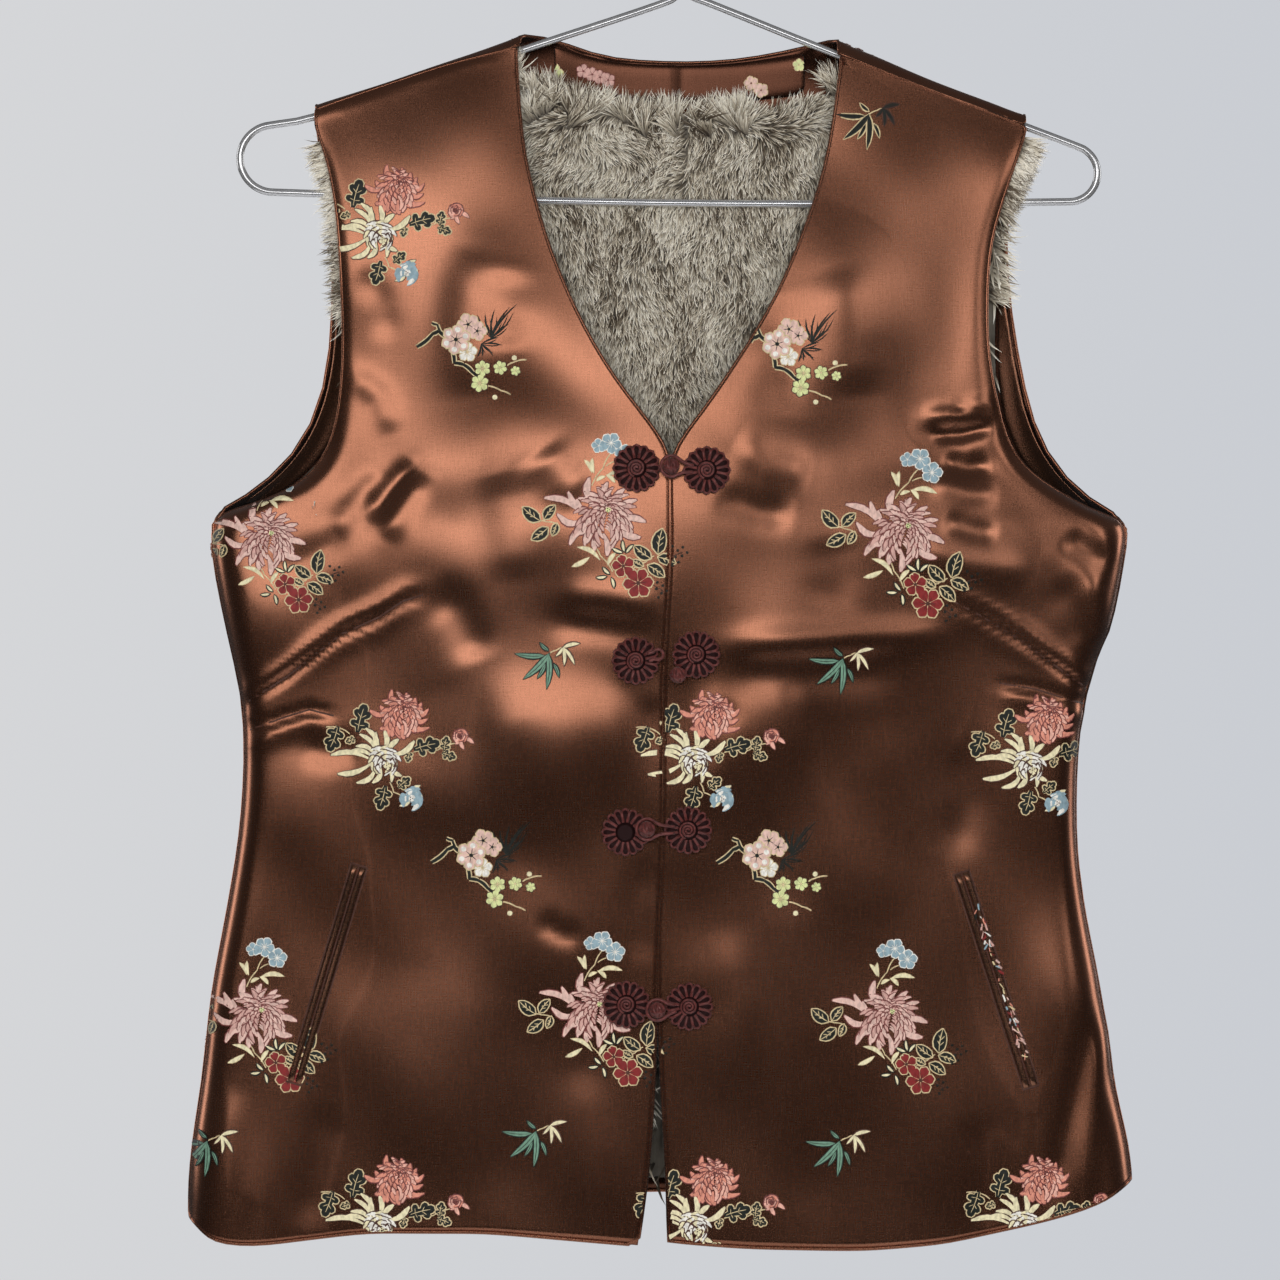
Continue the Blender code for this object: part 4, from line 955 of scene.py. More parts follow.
def plum_motif(bm):
    for line, width in (
        ([(-26, 12), (-36, 19), (-42, 16), (-58, 3)], 3.4),
        ([(-34, 18), (-37, 25), (-43, 27)], 2.2),
        ([(-21.7, -3), (-20.2, -13.5), (-11, -15), (-1.9, -22.7), (4, -28)], 3.2),
    ):
        stem(bm, "gold", line, width + 2.4, 0.2)
        stem(bm, "dark", line, width, 0.36)
    for root, tips in NEEDLES:
        for tip in tips:
            beside = Vector(root).lerp(Vector(tip), 0.75) + Vector((3, 0))
            petal(bm, "dark", root, tip, 1.8, 0.06, 0.3)
            petal(bm, "dark", root, beside, 1.2, -0.08, 0.3)
    blossom(bm, "pale", "gold", -6.4, 25, 11, "dark", 5, 40, 0.35)
    blossom(bm, "pale", "gold", 2.8, 18.5, 9.5, "dark", 5, 0, 0.4)
    blossom(bm, "white", "gold", -7, -2.5, 9.5, "gold", 5, 300, 0.4)
    blossom(bm, "pale", "gold", -18.3, 10, 14.5, "dark", 6, 20, 0.55)
    for number in range(6):
        way = 20 + 60 * number
        dot(bm, "white", *(Vector((-18.3, 10)) + polar(10, way)), 2.6, 0.75)
    for x, y, radius in ((8, -19, 8), (5.2, -33.5, 9), (25.7, -18.3, 7), (41, -21.5, 5)):
        blossom(bm, "lime", "brown", x, y, radius, "gold", 6, 4 * x)
    stem(bm, "gold", [(12, -36), (26.5, -41), (36, -45)], 1.6)
    stem(bm, "gold", [(33, -16), (39.5, -12.7), (52, -10.4)], 1.6)
    for x, y in ((39.8, -8.5), (20.3, -47.6)):
        dot(bm, "cream", x, y, 2.5)


def bamboo_motif(bm, fill="mint", second="cream"):
    for root, tip, width in (
        ((4.5, 6.4), (-20.8, -18.6), 5.5),
        ((4, 6), (2.2, -28.3), 5),
        ((0.7, -3.8), (-7, -18), 3),
        ((9.3, -3.8), (14.4, -17), 2.8),
        ((0, 4.4), (-28.9, 6.2), 4.6),
        ((3.7, 9.5), (-4.4, 17), 2.8),
    ):
        petal(bm, fill, root, tip, width, 0.05, 0.42, "dark" if fill == "mint" else "gold", 0.4)
        petal(bm, "dark", root, tip, 0.7, 0.05, 0.62)
    for tip, width in (((34.9, 16.4), 3.6), ((29.8, -4.3), 3.2), ((19.5, -5.3), 3.2), ((11.4, 3.9), 2.6)):
        petal(bm, second, (18.5, 12.6), tip, width, 0.06, 0.4, "brown", 0.45)
    stem(bm, "gold", [(4, 6), (12, 10), (18.5, 12.6)], 1.3)


def dark_bamboo(bm):
    bamboo_motif(bm, "dark", "dark")


def flat_motif(draw):
    """A motif as its points, its faces and the thread of each face."""
    bm = bmesh.new()
    draw(bm)
    mesh = mesh_of(bm, "motif")
    faces = [tuple(face.vertices) for face in mesh.polygons]
    threads = [face.material_index for face in mesh.polygons]
    points = read(mesh)
    bpy.data.meshes.remove(mesh)
    return points, faces, threads


MOTIFS = {
    "pink": flat_motif(pink_motif),
    "pair": flat_motif(pair_motif),
    "plum": flat_motif(plum_motif),
    "bamboo": flat_motif(bamboo_motif),
    "dark": flat_motif(dark_bamboo),
}
print({name: len(parts[1]) for name, parts in MOTIFS.items()})

# %% [markdown]
# Laying a motif casts a ray at the panel from every point of it, so it follows each crease,
# and what falls past an edge or a dart is cut off, as in cloth that was cut from the bolt.
# On the back the same repeat is seen from behind. Places are in the same steps, across and
# down from where the hanger leaves the picture.
#
# %% Brocade
ORIGIN_X, ORIGIN_Z = 688, -68.42
REPEAT_X, REPEAT_Z = 315, 495


def world_place(across, down):
    return (across - ORIGIN_X) * STEP, ORIGIN_Z - STEP * down


def repeated(across, down, rows, columns):
    """Places of one motif all over the back."""
    return [(across + REPEAT_X * column, down + REPEAT_Z * row) for row in range(rows) for column in columns]


LEFT_PLACES = {
    "pink": ((598, 518, 1.06, 0), (262, 540, 0.97, 0), (252, 1017), (590, 1010)),
    "pair": ((385, 215), (390, 740), (700, 740), (385, 1205), (700, 1205)),
    "plum": ((475, 350), (490, 865)),
    "bamboo": ((545, 660), (532, 1137), (203, 1148)),
}
RIGHT_PLACES = {
    "pink": ((896, 532, 1.08, -8), (882, 1018), (598, 518, 1.06, 0), (590, 1010)),
    "pair": ((700, 740), (1035, 745), (700, 1205), (1030, 1205)),
    "plum": ((795, 355), (775, 865), (1150, 350)),
    "bamboo": ((838, 665), (835, 1147), (1140, 660)),
    "dark": ((865, 120),),
}
BACK_PLACES = {
    "pink": repeated(540, 60, 3, (-1, 0, 1)),
    "pair": repeated(645, 280, 2, (-1, 0, 1)),
    "plum": repeated(428, 405, 2, (0, 1, 2)),
    "bamboo": repeated(488, 198, 3, (0, 1, 2)),
}


def lay(points, tree, place, side):
    """Points of a motif on the cloth, with the ones that miss it marked. side is 1 on the
    front, and -1 on the back, which is seen from behind. A place may go on with how much
    the cloth is stretched there and by how many degrees it is turned."""
    middle_x, middle_z = world_place(*place[:2])
    stretch, turn = place[2:] or (1.0, 0.0)
    ahead, aside = polar(stretch, turn), polar(stretch, turn + 90)
    laid = np.zeros((len(points), 3))
    missed = np.zeros(len(points), bool)
    for index, (along, up, lift) in enumerate(points):
        x, y = ahead * along + aside * up
        spot = on_cloth(tree, middle_x + side * x * STEP, middle_z + y * STEP, lift, side)
        if spot is None:
            missed[index] = True
        else:
            laid[index] = spot
    return laid, missed


def weave(name, node_name, tree, places, side):
    """All flowers of one panel as one piece."""
    all_points, all_faces, all_threads = [], [], []
    for kind, spots in places.items():
        points, faces, threads = MOTIFS[kind]
        for place in spots:
            laid, missed = lay(points, tree, place, side)
            first = sum(len(part) for part in all_points)
            for face, thread in zip(faces, threads):
                if not missed[list(face)].any():
                    all_faces.append([corner + first for corner in face])
                    all_threads.append(thread)
            all_points.append(laid)
    mesh = bpy.data.meshes.new(name)
    mesh.from_pydata(np.concatenate(all_points), [], all_faces)
    mesh.polygons.foreach_set("material_index", all_threads)
    bm = bmesh.new()
    bm.from_mesh(mesh)
    bmesh.ops.delete(bm, geom=[vert for vert in bm.verts if not vert.link_faces], context="VERTS")
    bm.to_mesh(mesh)
    bm.free()
    mesh.shade_smooth()
    woven = finish_piece(name, mesh, "satin", *THREAD_MATERIALS)
    print(name, "triangles:", triangles(mesh))
    return woven


WOVEN = {
    "left": weave("flowers_front_left", "front_left", PANELS["left"][1], LEFT_PLACES, 1),
    "right": weave("flowers_front_right", "front_right", PANELS["right"][1], RIGHT_PLACES, 1),
    "back": weave("flowers_back", "back", PANELS["back"][1], BACK_PLACES, -1),
}

# %% [markdown]
# The fur is a thin skin on the lining's inner face with hairs on it. A hair is a narrow
# tapered blade of seven points, and numpy copies it to seeded places. Hairs lie downwards
# in clumps, turn every way above the hanger's bar, and stand out past the armholes. Two
# attributes go with them: how far along the hair a point is, and the hair's own tone.
#
# %% Fur
FUR_SKIN = 0.4 * MM
FUR_SUNK = 1.2 * MM
BAR_Z = -165 * MM
BLADE_ALONG = np.array([0, 0, 0.38, 0.38, 0.74, 0.74, 1.0])
BLADE_ASIDE = np.array([-1, 1, -0.85, 0.85, -0.5, 0.5, 0])
BLADE_FACES = ((0, 1, 3, 2), (2, 3, 5, 4), (4, 5, 6))


def hair_material(name):
    """Grey-beige hair, dark at the root with a cream tip, and lighter or darker each."""
    made, tree, shader = new_material(name, {"Roughness": 0.62, "Sheen Weight": 0.3})
    tone = node(tree, "ShaderNodeAttribute", attribute_name="tone").outputs["Fac"]
    tip = node(tree, "ShaderNodeAttribute", attribute_name="tip").outputs["Fac"]
    along = ramp(
        tree,
        tip,
        (0.0, (0.060, 0.048, 0.038)),
        (0.4, (0.36, 0.32, 0.25)),
        (0.75, (0.80, 0.75, 0.64)),
        (1.0, (0.90, 0.87, 0.80)),
    )
    dark, grey, pale = (0.13, 0.10, 0.075), (0.80, 0.76, 0.70), (1.0, 1.0, 1.0)
    shades = ramp(tree, tone, (0.1, dark), (0.42, grey), (0.8, pale))
    both = mixed(tree, 1.0, along, shades, blend_type="MULTIPLY")
    tree.links.new(both, shader.inputs["Base Color"])
    return made


def skin_material(name):
    """The short underfur on the skin: streaks that run down."""
    made, tree, shader = new_material(name, {"Roughness": 0.8, "Sheen Weight": 0.3})
    streaks = grain(tree, (260, 260, 70), 4)
    colour = ramp(tree, streaks, (0.3, (0.030, 0.024, 0.019)), (0.7, (0.17, 0.15, 0.12)))
    tree.links.new(colour, shader.inputs["Base Color"])
    roughen(tree, shader, streaks, 0.9, 0.002)
    return made


HAIR = hair_material("fur hair")
SKIN = skin_material("fur skin")


def wander(flat, seed, size):
    """A smooth field between about -1 and 1 from a few crossed waves, size in metres."""
    choose = np.random.default_rng(seed)
    total = np.zeros(len(flat))
    for _ in range(7):
        way, turn = choose.uniform(0, 2 * math.pi, 2)
        length = size * choose.uniform(0.6, 1.6)
        total += np.sin(2 * math.pi * (flat @ (math.cos(way), math.sin(way))) / length + turn)
    return total / 3.2


def scattered(mesh, count, seed, weight):
    """Seeded places on a mesh, denser where weight is larger: points and normals."""
    choose = np.random.default_rng(seed)
    mesh.calc_loop_triangles()
    corners = np.array([tri.vertices for tri in mesh.loop_triangles])
    points, normals = read(mesh), read_normals(mesh)
    trio = points[corners]
    size = np.linalg.norm(np.cross(trio[:, 1] - trio[:, 0], trio[:, 2] - trio[:, 0]), axis=1)
    share = size * weight(trio.mean(axis=1))
    picked = choose.choice(len(corners), count, p=share / share.sum())
    parts = choose.dirichlet((1, 1, 1), count)[:, :, None]
    return (points[corners[picked]] * parts).sum(axis=1), (normals[corners[picked]] * parts).sum(axis=1)


def unit(rows):
    return rows / np.maximum(np.linalg.norm(rows, axis=1), 1e-9)[:, None]


def hairs(roots, normals, lay_way, length, width, rise, seed):
    """Points, faces, tips and tones of all blades. rise is how steeply a hair stands."""
    choose = np.random.default_rng(seed)
    count = len(roots)
    flat = roots[:, [0, 2]]
    jitter = choose.normal(0, 0.22, (count, 3))
    way = unit(lay_way + jitter)
    way = unit(way - normals * (way * normals).sum(axis=1)[:, None])
    beside = unit(np.cross(way, normals))
    clump = 0.5 + 0.5 * np.clip(wander(flat, 21, 0.010), -1, 1)
    curl = choose.normal(0, 0.16, count) + 0.18 * wander(flat, 22, 0.016)
    length = length * choose.uniform(0.65, 1.25, count)
    stand = rise * choose.uniform(0.5, 1.4, count) * (0.6 + 0.8 * clump)
    along = BLADE_ALONG[None, :, None]
    lift = (along**0.8 - 0.55 * along**2.4) * stand[:, None, None] * normals[:, None, :]
    side = (curl[:, None] * BLADE_ALONG[None, :] ** 2)[:, :, None] * beside[:, None, :]
    spine = along * way[:, None, :] + lift + side
    points = roots[:, None, :] + spine * length[:, None, None]
    wide = (width / 2 * choose.uniform(0.7, 1.3, count))[:, None, None]
    tilt = unit(beside + normals * choose.normal(0, 0.45, count)[:, None])
    points += BLADE_ASIDE[None, :, None] * wide * tilt[:, None, :]
    faces = [tuple(7 * number + corner for corner in face) for number in range(count) for face in BLADE_FACES]
    patches = 0.52 + 0.24 * wander(flat * (1, 0.55), 23, 0.035) + 0.16 * wander(flat, 24, 0.009)
    tones = np.clip(patches + choose.normal(0, 0.32, count), 0, 1)
    return points.reshape(-1, 3), faces, np.tile(BLADE_ALONG, count), np.repeat(tones, 7)


def make_fur(node_name, name, inward, groups):
    """A fur lining: its skin, and groups of hairs as a piece of their own. A group has a
    count, a length, a width, a rise, how far its roots are lifted, a weight for places and
    the way the hairs lie."""
    skin = subdivided(sheet_of(node_name, None, inward), name, 1)
    if (read_normals(skin) @ np.array(inward)).mean() < 0:
        skin.flip_normals()
    write(skin, read(skin) - read_normals(skin) * FUR_SUNK)
    area = area_of(skin)
    all_points, all_faces, tips, tones = [], [], [], []
    for seed, (count, length, width, rise, lift, weight, way) in enumerate(groups, start=31):
        roots, ups = scattered(skin, count, seed, weight)
        roots = roots + ups * lift * MM
        made = hairs(roots, unit(ups), way(roots), length * MM, width * MM, rise, seed + 50)
        first = sum(len(part) for part in all_points)
        all_points.append(made[0])
        all_faces += [tuple(corner + first for corner in face) for face in made[1]]
        tips.append(made[2])
        tones.append(made[3])
    mesh = bpy.data.meshes.new(name + "_hair")
    mesh.from_pydata(np.concatenate(all_points), [], all_faces)
    for label, values in (("tip", tips), ("tone", tones)):
        mesh.attributes.new(label, "FLOAT", "POINT").data.foreach_set("value", np.concatenate(values))
    mesh.shade_smooth()
    hair = finish_piece(name + "_hair", mesh, "fur", HAIR)
    lining = finish_piece(name, skin, "fur", SKIN)
    thicken(lining, FUR_SKIN)
    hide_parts(node_name)
    print(name, "triangles:", 2 * triangles(skin) + triangles(mesh), "area:", round(area, 4))
    return lining, hair, area


def downwards(roots):
    """Down with gentle swirls, and every way above the bar."""
    flat = roots[:, [0, 2]]
    above = eased((roots[:, 2] - BAR_Z + 0.012) / 0.03)
    turn = 0.35 * wander(flat, 41, 0.045) + above * 1.5 * wander(flat, 42, 0.05)
    turn = turn + above * 0.7 * np.sign(flat[:, 0])
    return np.stack([np.sin(turn), np.zeros(len(flat)), -np.cos(turn)], axis=1)


def outwards(roots):
    """Out past the armholes and a little down."""
    return np.stack([np.sign(roots[:, 0]), np.zeros(len(roots)), np.full(len(roots), -0.55)], axis=1)


def up_over(roots):
    """Up over the neck facing, leaning both ways."""
    lean = 0.9 * wander(roots[:, [0, 2]], 43, 0.02)
    return np.stack([lean, np.zeros(len(roots)), np.full(len(roots), 0.8)], axis=1)


NECK_FOOT_Z = -0.292
NECK_TOP_Z = -0.094
NECK_HALF = 0.092
NECK_MIDDLE = -0.008
HEM_CLEAR_Z = -0.642
MIDDLE_X = -0.012
SIDE_CLEAR = 0.185
SHOULDER_CLEAR_Z = -0.14


def in_neck(middles):
    """More hairs where the V neck shows the lining, few elsewhere."""
    share = np.clip((middles[:, 2] - NECK_FOOT_Z) / (NECK_TOP_Z - NECK_FOOT_Z), 0, 1)
    shown = (np.abs(middles[:, 0] - NECK_MIDDLE) < 0.014 + share * NECK_HALF) & (share > 0)
    return np.where(shown, 1.0, 0.0)


def off_neck(middles):
    """Sparse places elsewhere, clear of the hem and of the shoulders' ridge."""
    clear = (middles[:, 2] > HEM_CLEAR_Z) & (middles[:, 2] < SHOULDER_CLEAR_Z)
    clear &= np.abs(middles[:, 0] - MIDDLE_X) < SIDE_CLEAR
    return np.where(clear, 1.02 - in_neck(middles), 0.0)


def at_top(middles):
    """Places just under the neck facing, whose lower edge hangs in a curve."""
    across = np.abs(middles[:, 0] - NECK_MIDDLE) / 0.083
    high = (middles[:, 2] > -0.131 + 0.018 * across**2) & (middles[:, 2] < -0.104)
    return np.where(high & (across < 1), 1.0, 0.0)


def near_arm(middles):
    """Places along the upper edge of the armholes."""
    tall = (middles[:, 2] > -0.215) & (middles[:, 2] < -0.137)
    edge = np.interp(-middles[:, 2], [0.118, 0.17, 0.25], [0.158, 0.150, 0.141])
    return np.where(tall & (np.abs(middles[:, 0]) > edge), 1.0, 0.0)


FURS = {
    "back": make_fur(
        "fur_back",
        "fur_lining_back",
        FRONT,
        [
            (26000, 6.5, 0.58, 0.6, 0, in_neck, downwards),
            (4200, 13, 0.65, 0.5, 2.6, at_top, up_over),
            (1500, 12, 0.8, 0.35, 0, near_arm, outwards),
            (4400, 14, 1.5, 0.45, 0, off_neck, downwards),
        ],
    ),
    "left": make_fur(
        "fur_front_left",
        "fur_lining_left",
        -FRONT,
        [
            (4200, 14, 1.5, 0.45, 0, off_neck, downwards),
            (3000, 13, 0.8, 0.35, 0, near_arm, outwards),
        ],
    ),
    "right": make_fur(
        "fur_front_right",
        "fur_lining_right",
        -FRONT,
        [
            (4200, 14, 1.5, 0.45, 0, off_neck, downwards),
            (3000, 13, 0.8, 0.35, 0, near_arm, outwards),
        ],
    ),
}

# %% [markdown]
# The hanger is one chromed wire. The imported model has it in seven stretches, so here one
# curve runs through the same points: from the hook down the stem, round the triangle and
# up into the twist.
#
# %% Hanger
WIRE = 1.9 * MM
CHROME, chrome_tree, chrome_shader = new_material("polished wire", {"Metallic": 0.8})
wear = grain(chrome_tree, (90, 90, 90), 4)
steel = ramp(chrome_tree, wear, (0.35, (0.80, 0.80, 0.82)), (0.7, (0.95, 0.95, 0.96)))
chrome_tree.links.new(steel, chrome_shader.inputs["Base Color"])
polish = ranged(chrome_tree, grain(chrome_tree, (400, 400, 400), 3), 0, 1, 0.06, 0.24)
chrome_tree.links.new(polish, chrome_shader.inputs["Roughness"])


def arc(x, z, radius, start, end, steps):
    """Points of an arc in the hanger's plane."""
    middle = Vector((x, z))
    turns = [start + (end - start) * step / steps for step in range(steps + 1)]
    return [middle + polar(radius, turn) for turn in turns]


def tube(name, lines, radius, sides=1, closed=False):
    """Round cords along lines of points, as one mesh. sides is the bevel's resolution."""
    curve = bpy.data.curves.new(name, "CURVE")
    curve.dimensions = "3D"
    curve.bevel_depth = radius
    curve.bevel_resolution = sides
    curve.use_fill_caps = True
    for line in lines:
        spline = curve.splines.new("POLY")
        spline.points.add(len(line) - 1)
        for point, co in zip(spline.points, line):
            point.co = (*co, 1)
        spline.use_cyclic_u = closed
        spline.use_smooth = True
    made = bpy.data.objects.new(name, curve)
    bpy.context.scene.collection.objects.link(made)
    shown = made.evaluated_get(bpy.context.evaluated_depsgraph_get())
    mesh = bpy.data.meshes.new_from_object(shown)
    bpy.data.objects.remove(made)
    bpy.data.curves.remove(curve)
    mesh.name = name
    return mesh


def rounded_line(points, passes=2):
    """A line with its corners cut, so that it bends softly."""
    for _ in range(passes):
        cut = [points[0]]
        for start, end in zip(points, points[1:]):
            cut += [start.lerp(end, 0.25), start.lerp(end, 0.75)]
        points = cut + [points[-1]]
    return points


hook_line = arc(0, -18, 19.9, 205, -50, 40) + [Vector(co) for co in ((8, -37.2), (3, -40.8), (0.5, -44))]
hook_line += [Vector(co) for co in ((0, -47), (0, -62.5), (0.8, -64.6), (3.6, -66.4), (9.8, -68.4))]
hook_line += [Vector(co) for co in ((73.3, -94.3), (166, -129.5))]
hook_line += arc(187, -152.3, 13.9, 65, -90, 18)
hook_line += [Vector(co) for co in ((100, -167.2), (0, -167), (-100, -164.9))]
hook_line += arc(-203, -145, 16.5, 270, 100, 20)
hook_line += [Vector(co) for co in ((-183, -125.5), (-82, -92), (-9.8, -68.4), (-6, -65.6))]
wire_line = rounded_line([Vector((x, 0, z)) for x, z in hook_line])
COIL_TURNS, COIL_STEPS, COIL_RADIUS = 3, 16, 4.1
for step in range(COIL_TURNS * COIL_STEPS + 1):
    turn = 180 + 360 * step / COIL_STEPS
    x, y = polar(COIL_RADIUS, turn)
    wire_line.append(Vector((x, y, -61.5 + 14 * step / (COIL_TURNS * COIL_STEPS))))
wire_mesh = tube("wire_hanger", [[co * MM for co in wire_line]], WIRE, 3)
wire = finish_piece("wire_hanger", wire_mesh, "chrome", CHROME)
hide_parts(*[name for name in NODES if name.startswith("hanger")])
print("hanger triangles:", triangles(wire.data))

# %% [markdown]
# Each frog flower is sixteen looped cords round a coil, laid on the imported flower, which
# stays as the padding under them, coloured near black as painted shade in the gaps between
# the loops. The third flower on the left has a plain middle. The knots are balls of the same
# cord, and the loops are the imported ones, rounded.
#
# %% Frogs
CORD_RADIUS = 0.62 * MM
PETAL_COUNT = 16
PETAL_SIDE = ((4.9, -0.8), (7, -1.25), (9.2, -1.7), (10.7, -1.3), (11.3, 0))
PETAL_LINE = PETAL_SIDE + tuple((radius, -side) for radius, side in PETAL_SIDE[-2::-1])
COIL = (0.4, 4.2, 2.7, 60)  # first and last radius, turns and steps
PLAIN = "flower_left_3"

cord_shine = {"Roughness": 0.34, "Sheen Weight": 0.08, "Specular IOR Level": 0.8}
CORD, cord_tree, cord_shader = new_material("maroon cord", cord_shine)
# near-black padding: painted shade in the gaps between the cord loops
PADDING_PAINTED_SHADE, _, padding_shader = new_material("frog padding painted shade", {"Roughness": 0.7})
padding_shader.inputs["Base Color"].default_value = (0.014, 0.004, 0.004, 1)
cord_tone = grain(cord_tree, (500, 500, 500), 2)
cord_colour = ramp(cord_tree, cord_tone, (0.35, (0.060, 0.012, 0.010)), (0.65, (0.13, 0.030, 0.026)))
cord_tree.links.new(cord_colour, cord_shader.inputs["Base Color"])
cord_ribs = grain(cord_tree, (2600, 2600, 2600), 1)
cord_bump = node(cord_tree, "ShaderNodeBump", {"Height": cord_ribs, "Strength": 0.4, "Distance": 0.0002})
cord_tree.links.new(cord_bump.outputs["Normal"], cord_shader.inputs["Normal"])


def rounded_copy(node_name, name, levels=1):
    """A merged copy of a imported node, its triangles paired, rounded by subdivision."""
    bm = merged(node_name)
    bmesh.ops.join_triangles(
        bm, faces=bm.faces, angle_face_threshold=0.6, angle_shape_threshold=math.pi
    )
    return subdivided(bm, name, levels)


def node_tree_of(node_name):
    """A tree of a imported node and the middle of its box."""
    low, high = (Vector(co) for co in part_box(node_name))
    return tree_of(NODES[node_name].data), (low + high) / 2


def flower_lines(node_name):
    """Lines of the looped petals and the coil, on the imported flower."""
    tree, middle = node_tree_of(node_name)
    flat = []
    for number in range(PETAL_COUNT):
        way = 360 * number / PETAL_COUNT
        flat.append([polar(radius, way) + polar(side, way + 90) for radius, side in PETAL_LINE])
    if node_name != PLAIN:
        first, last, turns, steps = COIL
        coil = []
        for step in range(steps + 1):
            coil.append(polar(first + (last - first) * step / steps, 360 * turns * step / steps))
        flat.append(coil)
    lines = []
    for line in flat:
        laid = []
        for x, z in line:
            start = Vector((middle.x + x * MM, middle.y - 0.05, middle.z + z * MM))
            hit, normal, _, _ = tree.ray_cast(start, Vector((0, 1, 0)))
            if hit is None:
                hit, normal, _, _ = tree.find_nearest(Vector((start.x, middle.y, start.z)))
            laid.append(hit + Vector((0, -0.55 * CORD_RADIUS, 0)))
        lines.append(laid)
    return lines


frog_count = 0
for name in sorted(NODES):
    if name.startswith("flower"):
        slots = NODES[name].data.materials
        slots.clear()
        slots.append(PADDING_PAINTED_SHADE)
        cords_mesh = tube("cords_" + name, flower_lines(name), CORD_RADIUS)
        finish_piece("cords_" + name, cords_mesh, "frog", CORD)
        frog_count += triangles(cords_mesh)
    elif name.startswith("loop"):
        loop = finish_piece("cord_" + name, rounded_copy(name, "cord_" + name), "frog", CORD)
        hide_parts(name)
    elif name.startswith("knot"):
        _, middle = node_tree_of(name)
        rings = []
        for turn, tilt in ((0, 20), (60, 70), (120, 70), (180, 70), (90, 90)):
            spin = Matrix.Rotation(math.radians(turn), 3, "Z") @ Matrix.Rotation(math.radians(tilt), 3, "X")
            ring = [spin @ Vector((*polar(3.3, 15 * step), 0)) for step in range(25)]
            rings.append([middle + co * MM for co in ring])
        ball = tube("cord_" + name, rings, 0.85 * MM)
        bm = bmesh.new()
        bm.from_mesh(ball)
        made = bmesh.ops.create_icosphere(bm, subdivisions=3, radius=3.2 * MM)
        bmesh.ops.translate(bm, vec=middle, verts=made["verts"])
        bm.to_mesh(ball)
        bm.free()
        ball.shade_smooth()
        knot = finish_piece("cord_" + name, ball, "frog", CORD)
        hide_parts(name)
print("flower cord triangles:", frog_count)

# %% [markdown]
# A pocket mouth has two rounded welts of satin with a fine seam, laid on the panel by the
# same rays as the flowers. The flowers of the repeat were cut through in the right welts,
# so bits of pink and blue run along them. Facings are rounded copies of the imported ones,
# with a small pleat at the middle of the neck. The neck facing and the inner side of the back
# take a darker copy of the satin, as painted shade.
#
# %% Welts and facings
WELT_RISE = 1.5
WELT_STEPS = (44, 6)
POCKET_LINES = {
    "left": ((-160.5, -491.0), (-192.5, -597.5)),
    "right": ((133.5, -494.5), (167.5, -599.5)),
}


def laid_mesh(name, bm, tree, side=1):
    """A flat bmesh in millimetres (x, z, lift) as a mesh on the cloth."""
    for vert in bm.verts:
        x, z, lift = vert.co
        start = Vector((x * MM, -0.2 * side, z * MM))
        hit, normal, _, _ = tree.ray_cast(start, Vector((0, side, 0)))
        if hit is None:
            hit, normal, _, _ = tree.find_nearest(Vector((x * MM, 0, z * MM)))
        if normal.y * side > 0:
            normal = -normal
        vert.co = hit + normal * lift * MM
    mesh = bpy.data.meshes.new(name)
    bm.to_mesh(mesh)
    bm.free()
    mesh.shade_smooth()
    return mesh


def strip(bm, start, end, width, low, rise, steps, thread=0):
    """A rounded strip from start to end in millimetres."""
    start, end = Vector(start), Vector(end)
    along = end - start
    across = Vector((-along.y, along.x)).normalized() * width / 2
    made = bmesh.ops.create_grid(bm, x_segments=steps[0], y_segments=steps[1], size=1)["verts"]
    for vert in made:
        share, side = (vert.co.x + 1) / 2, vert.co.y
        ends = min(share, 1 - share) * along.length / (width / 2)
        round_end = math.sqrt(max(1 - (1 - min(ends, 1)) ** 2, 0))
        place = start + along * share + across * side
        vert.co = (place.x, place.y, low + rise * math.sqrt(max(1 - side**4, 0)) * round_end)
    for face in {face for vert in made for face in vert.link_faces}:
        face.material_index = thread


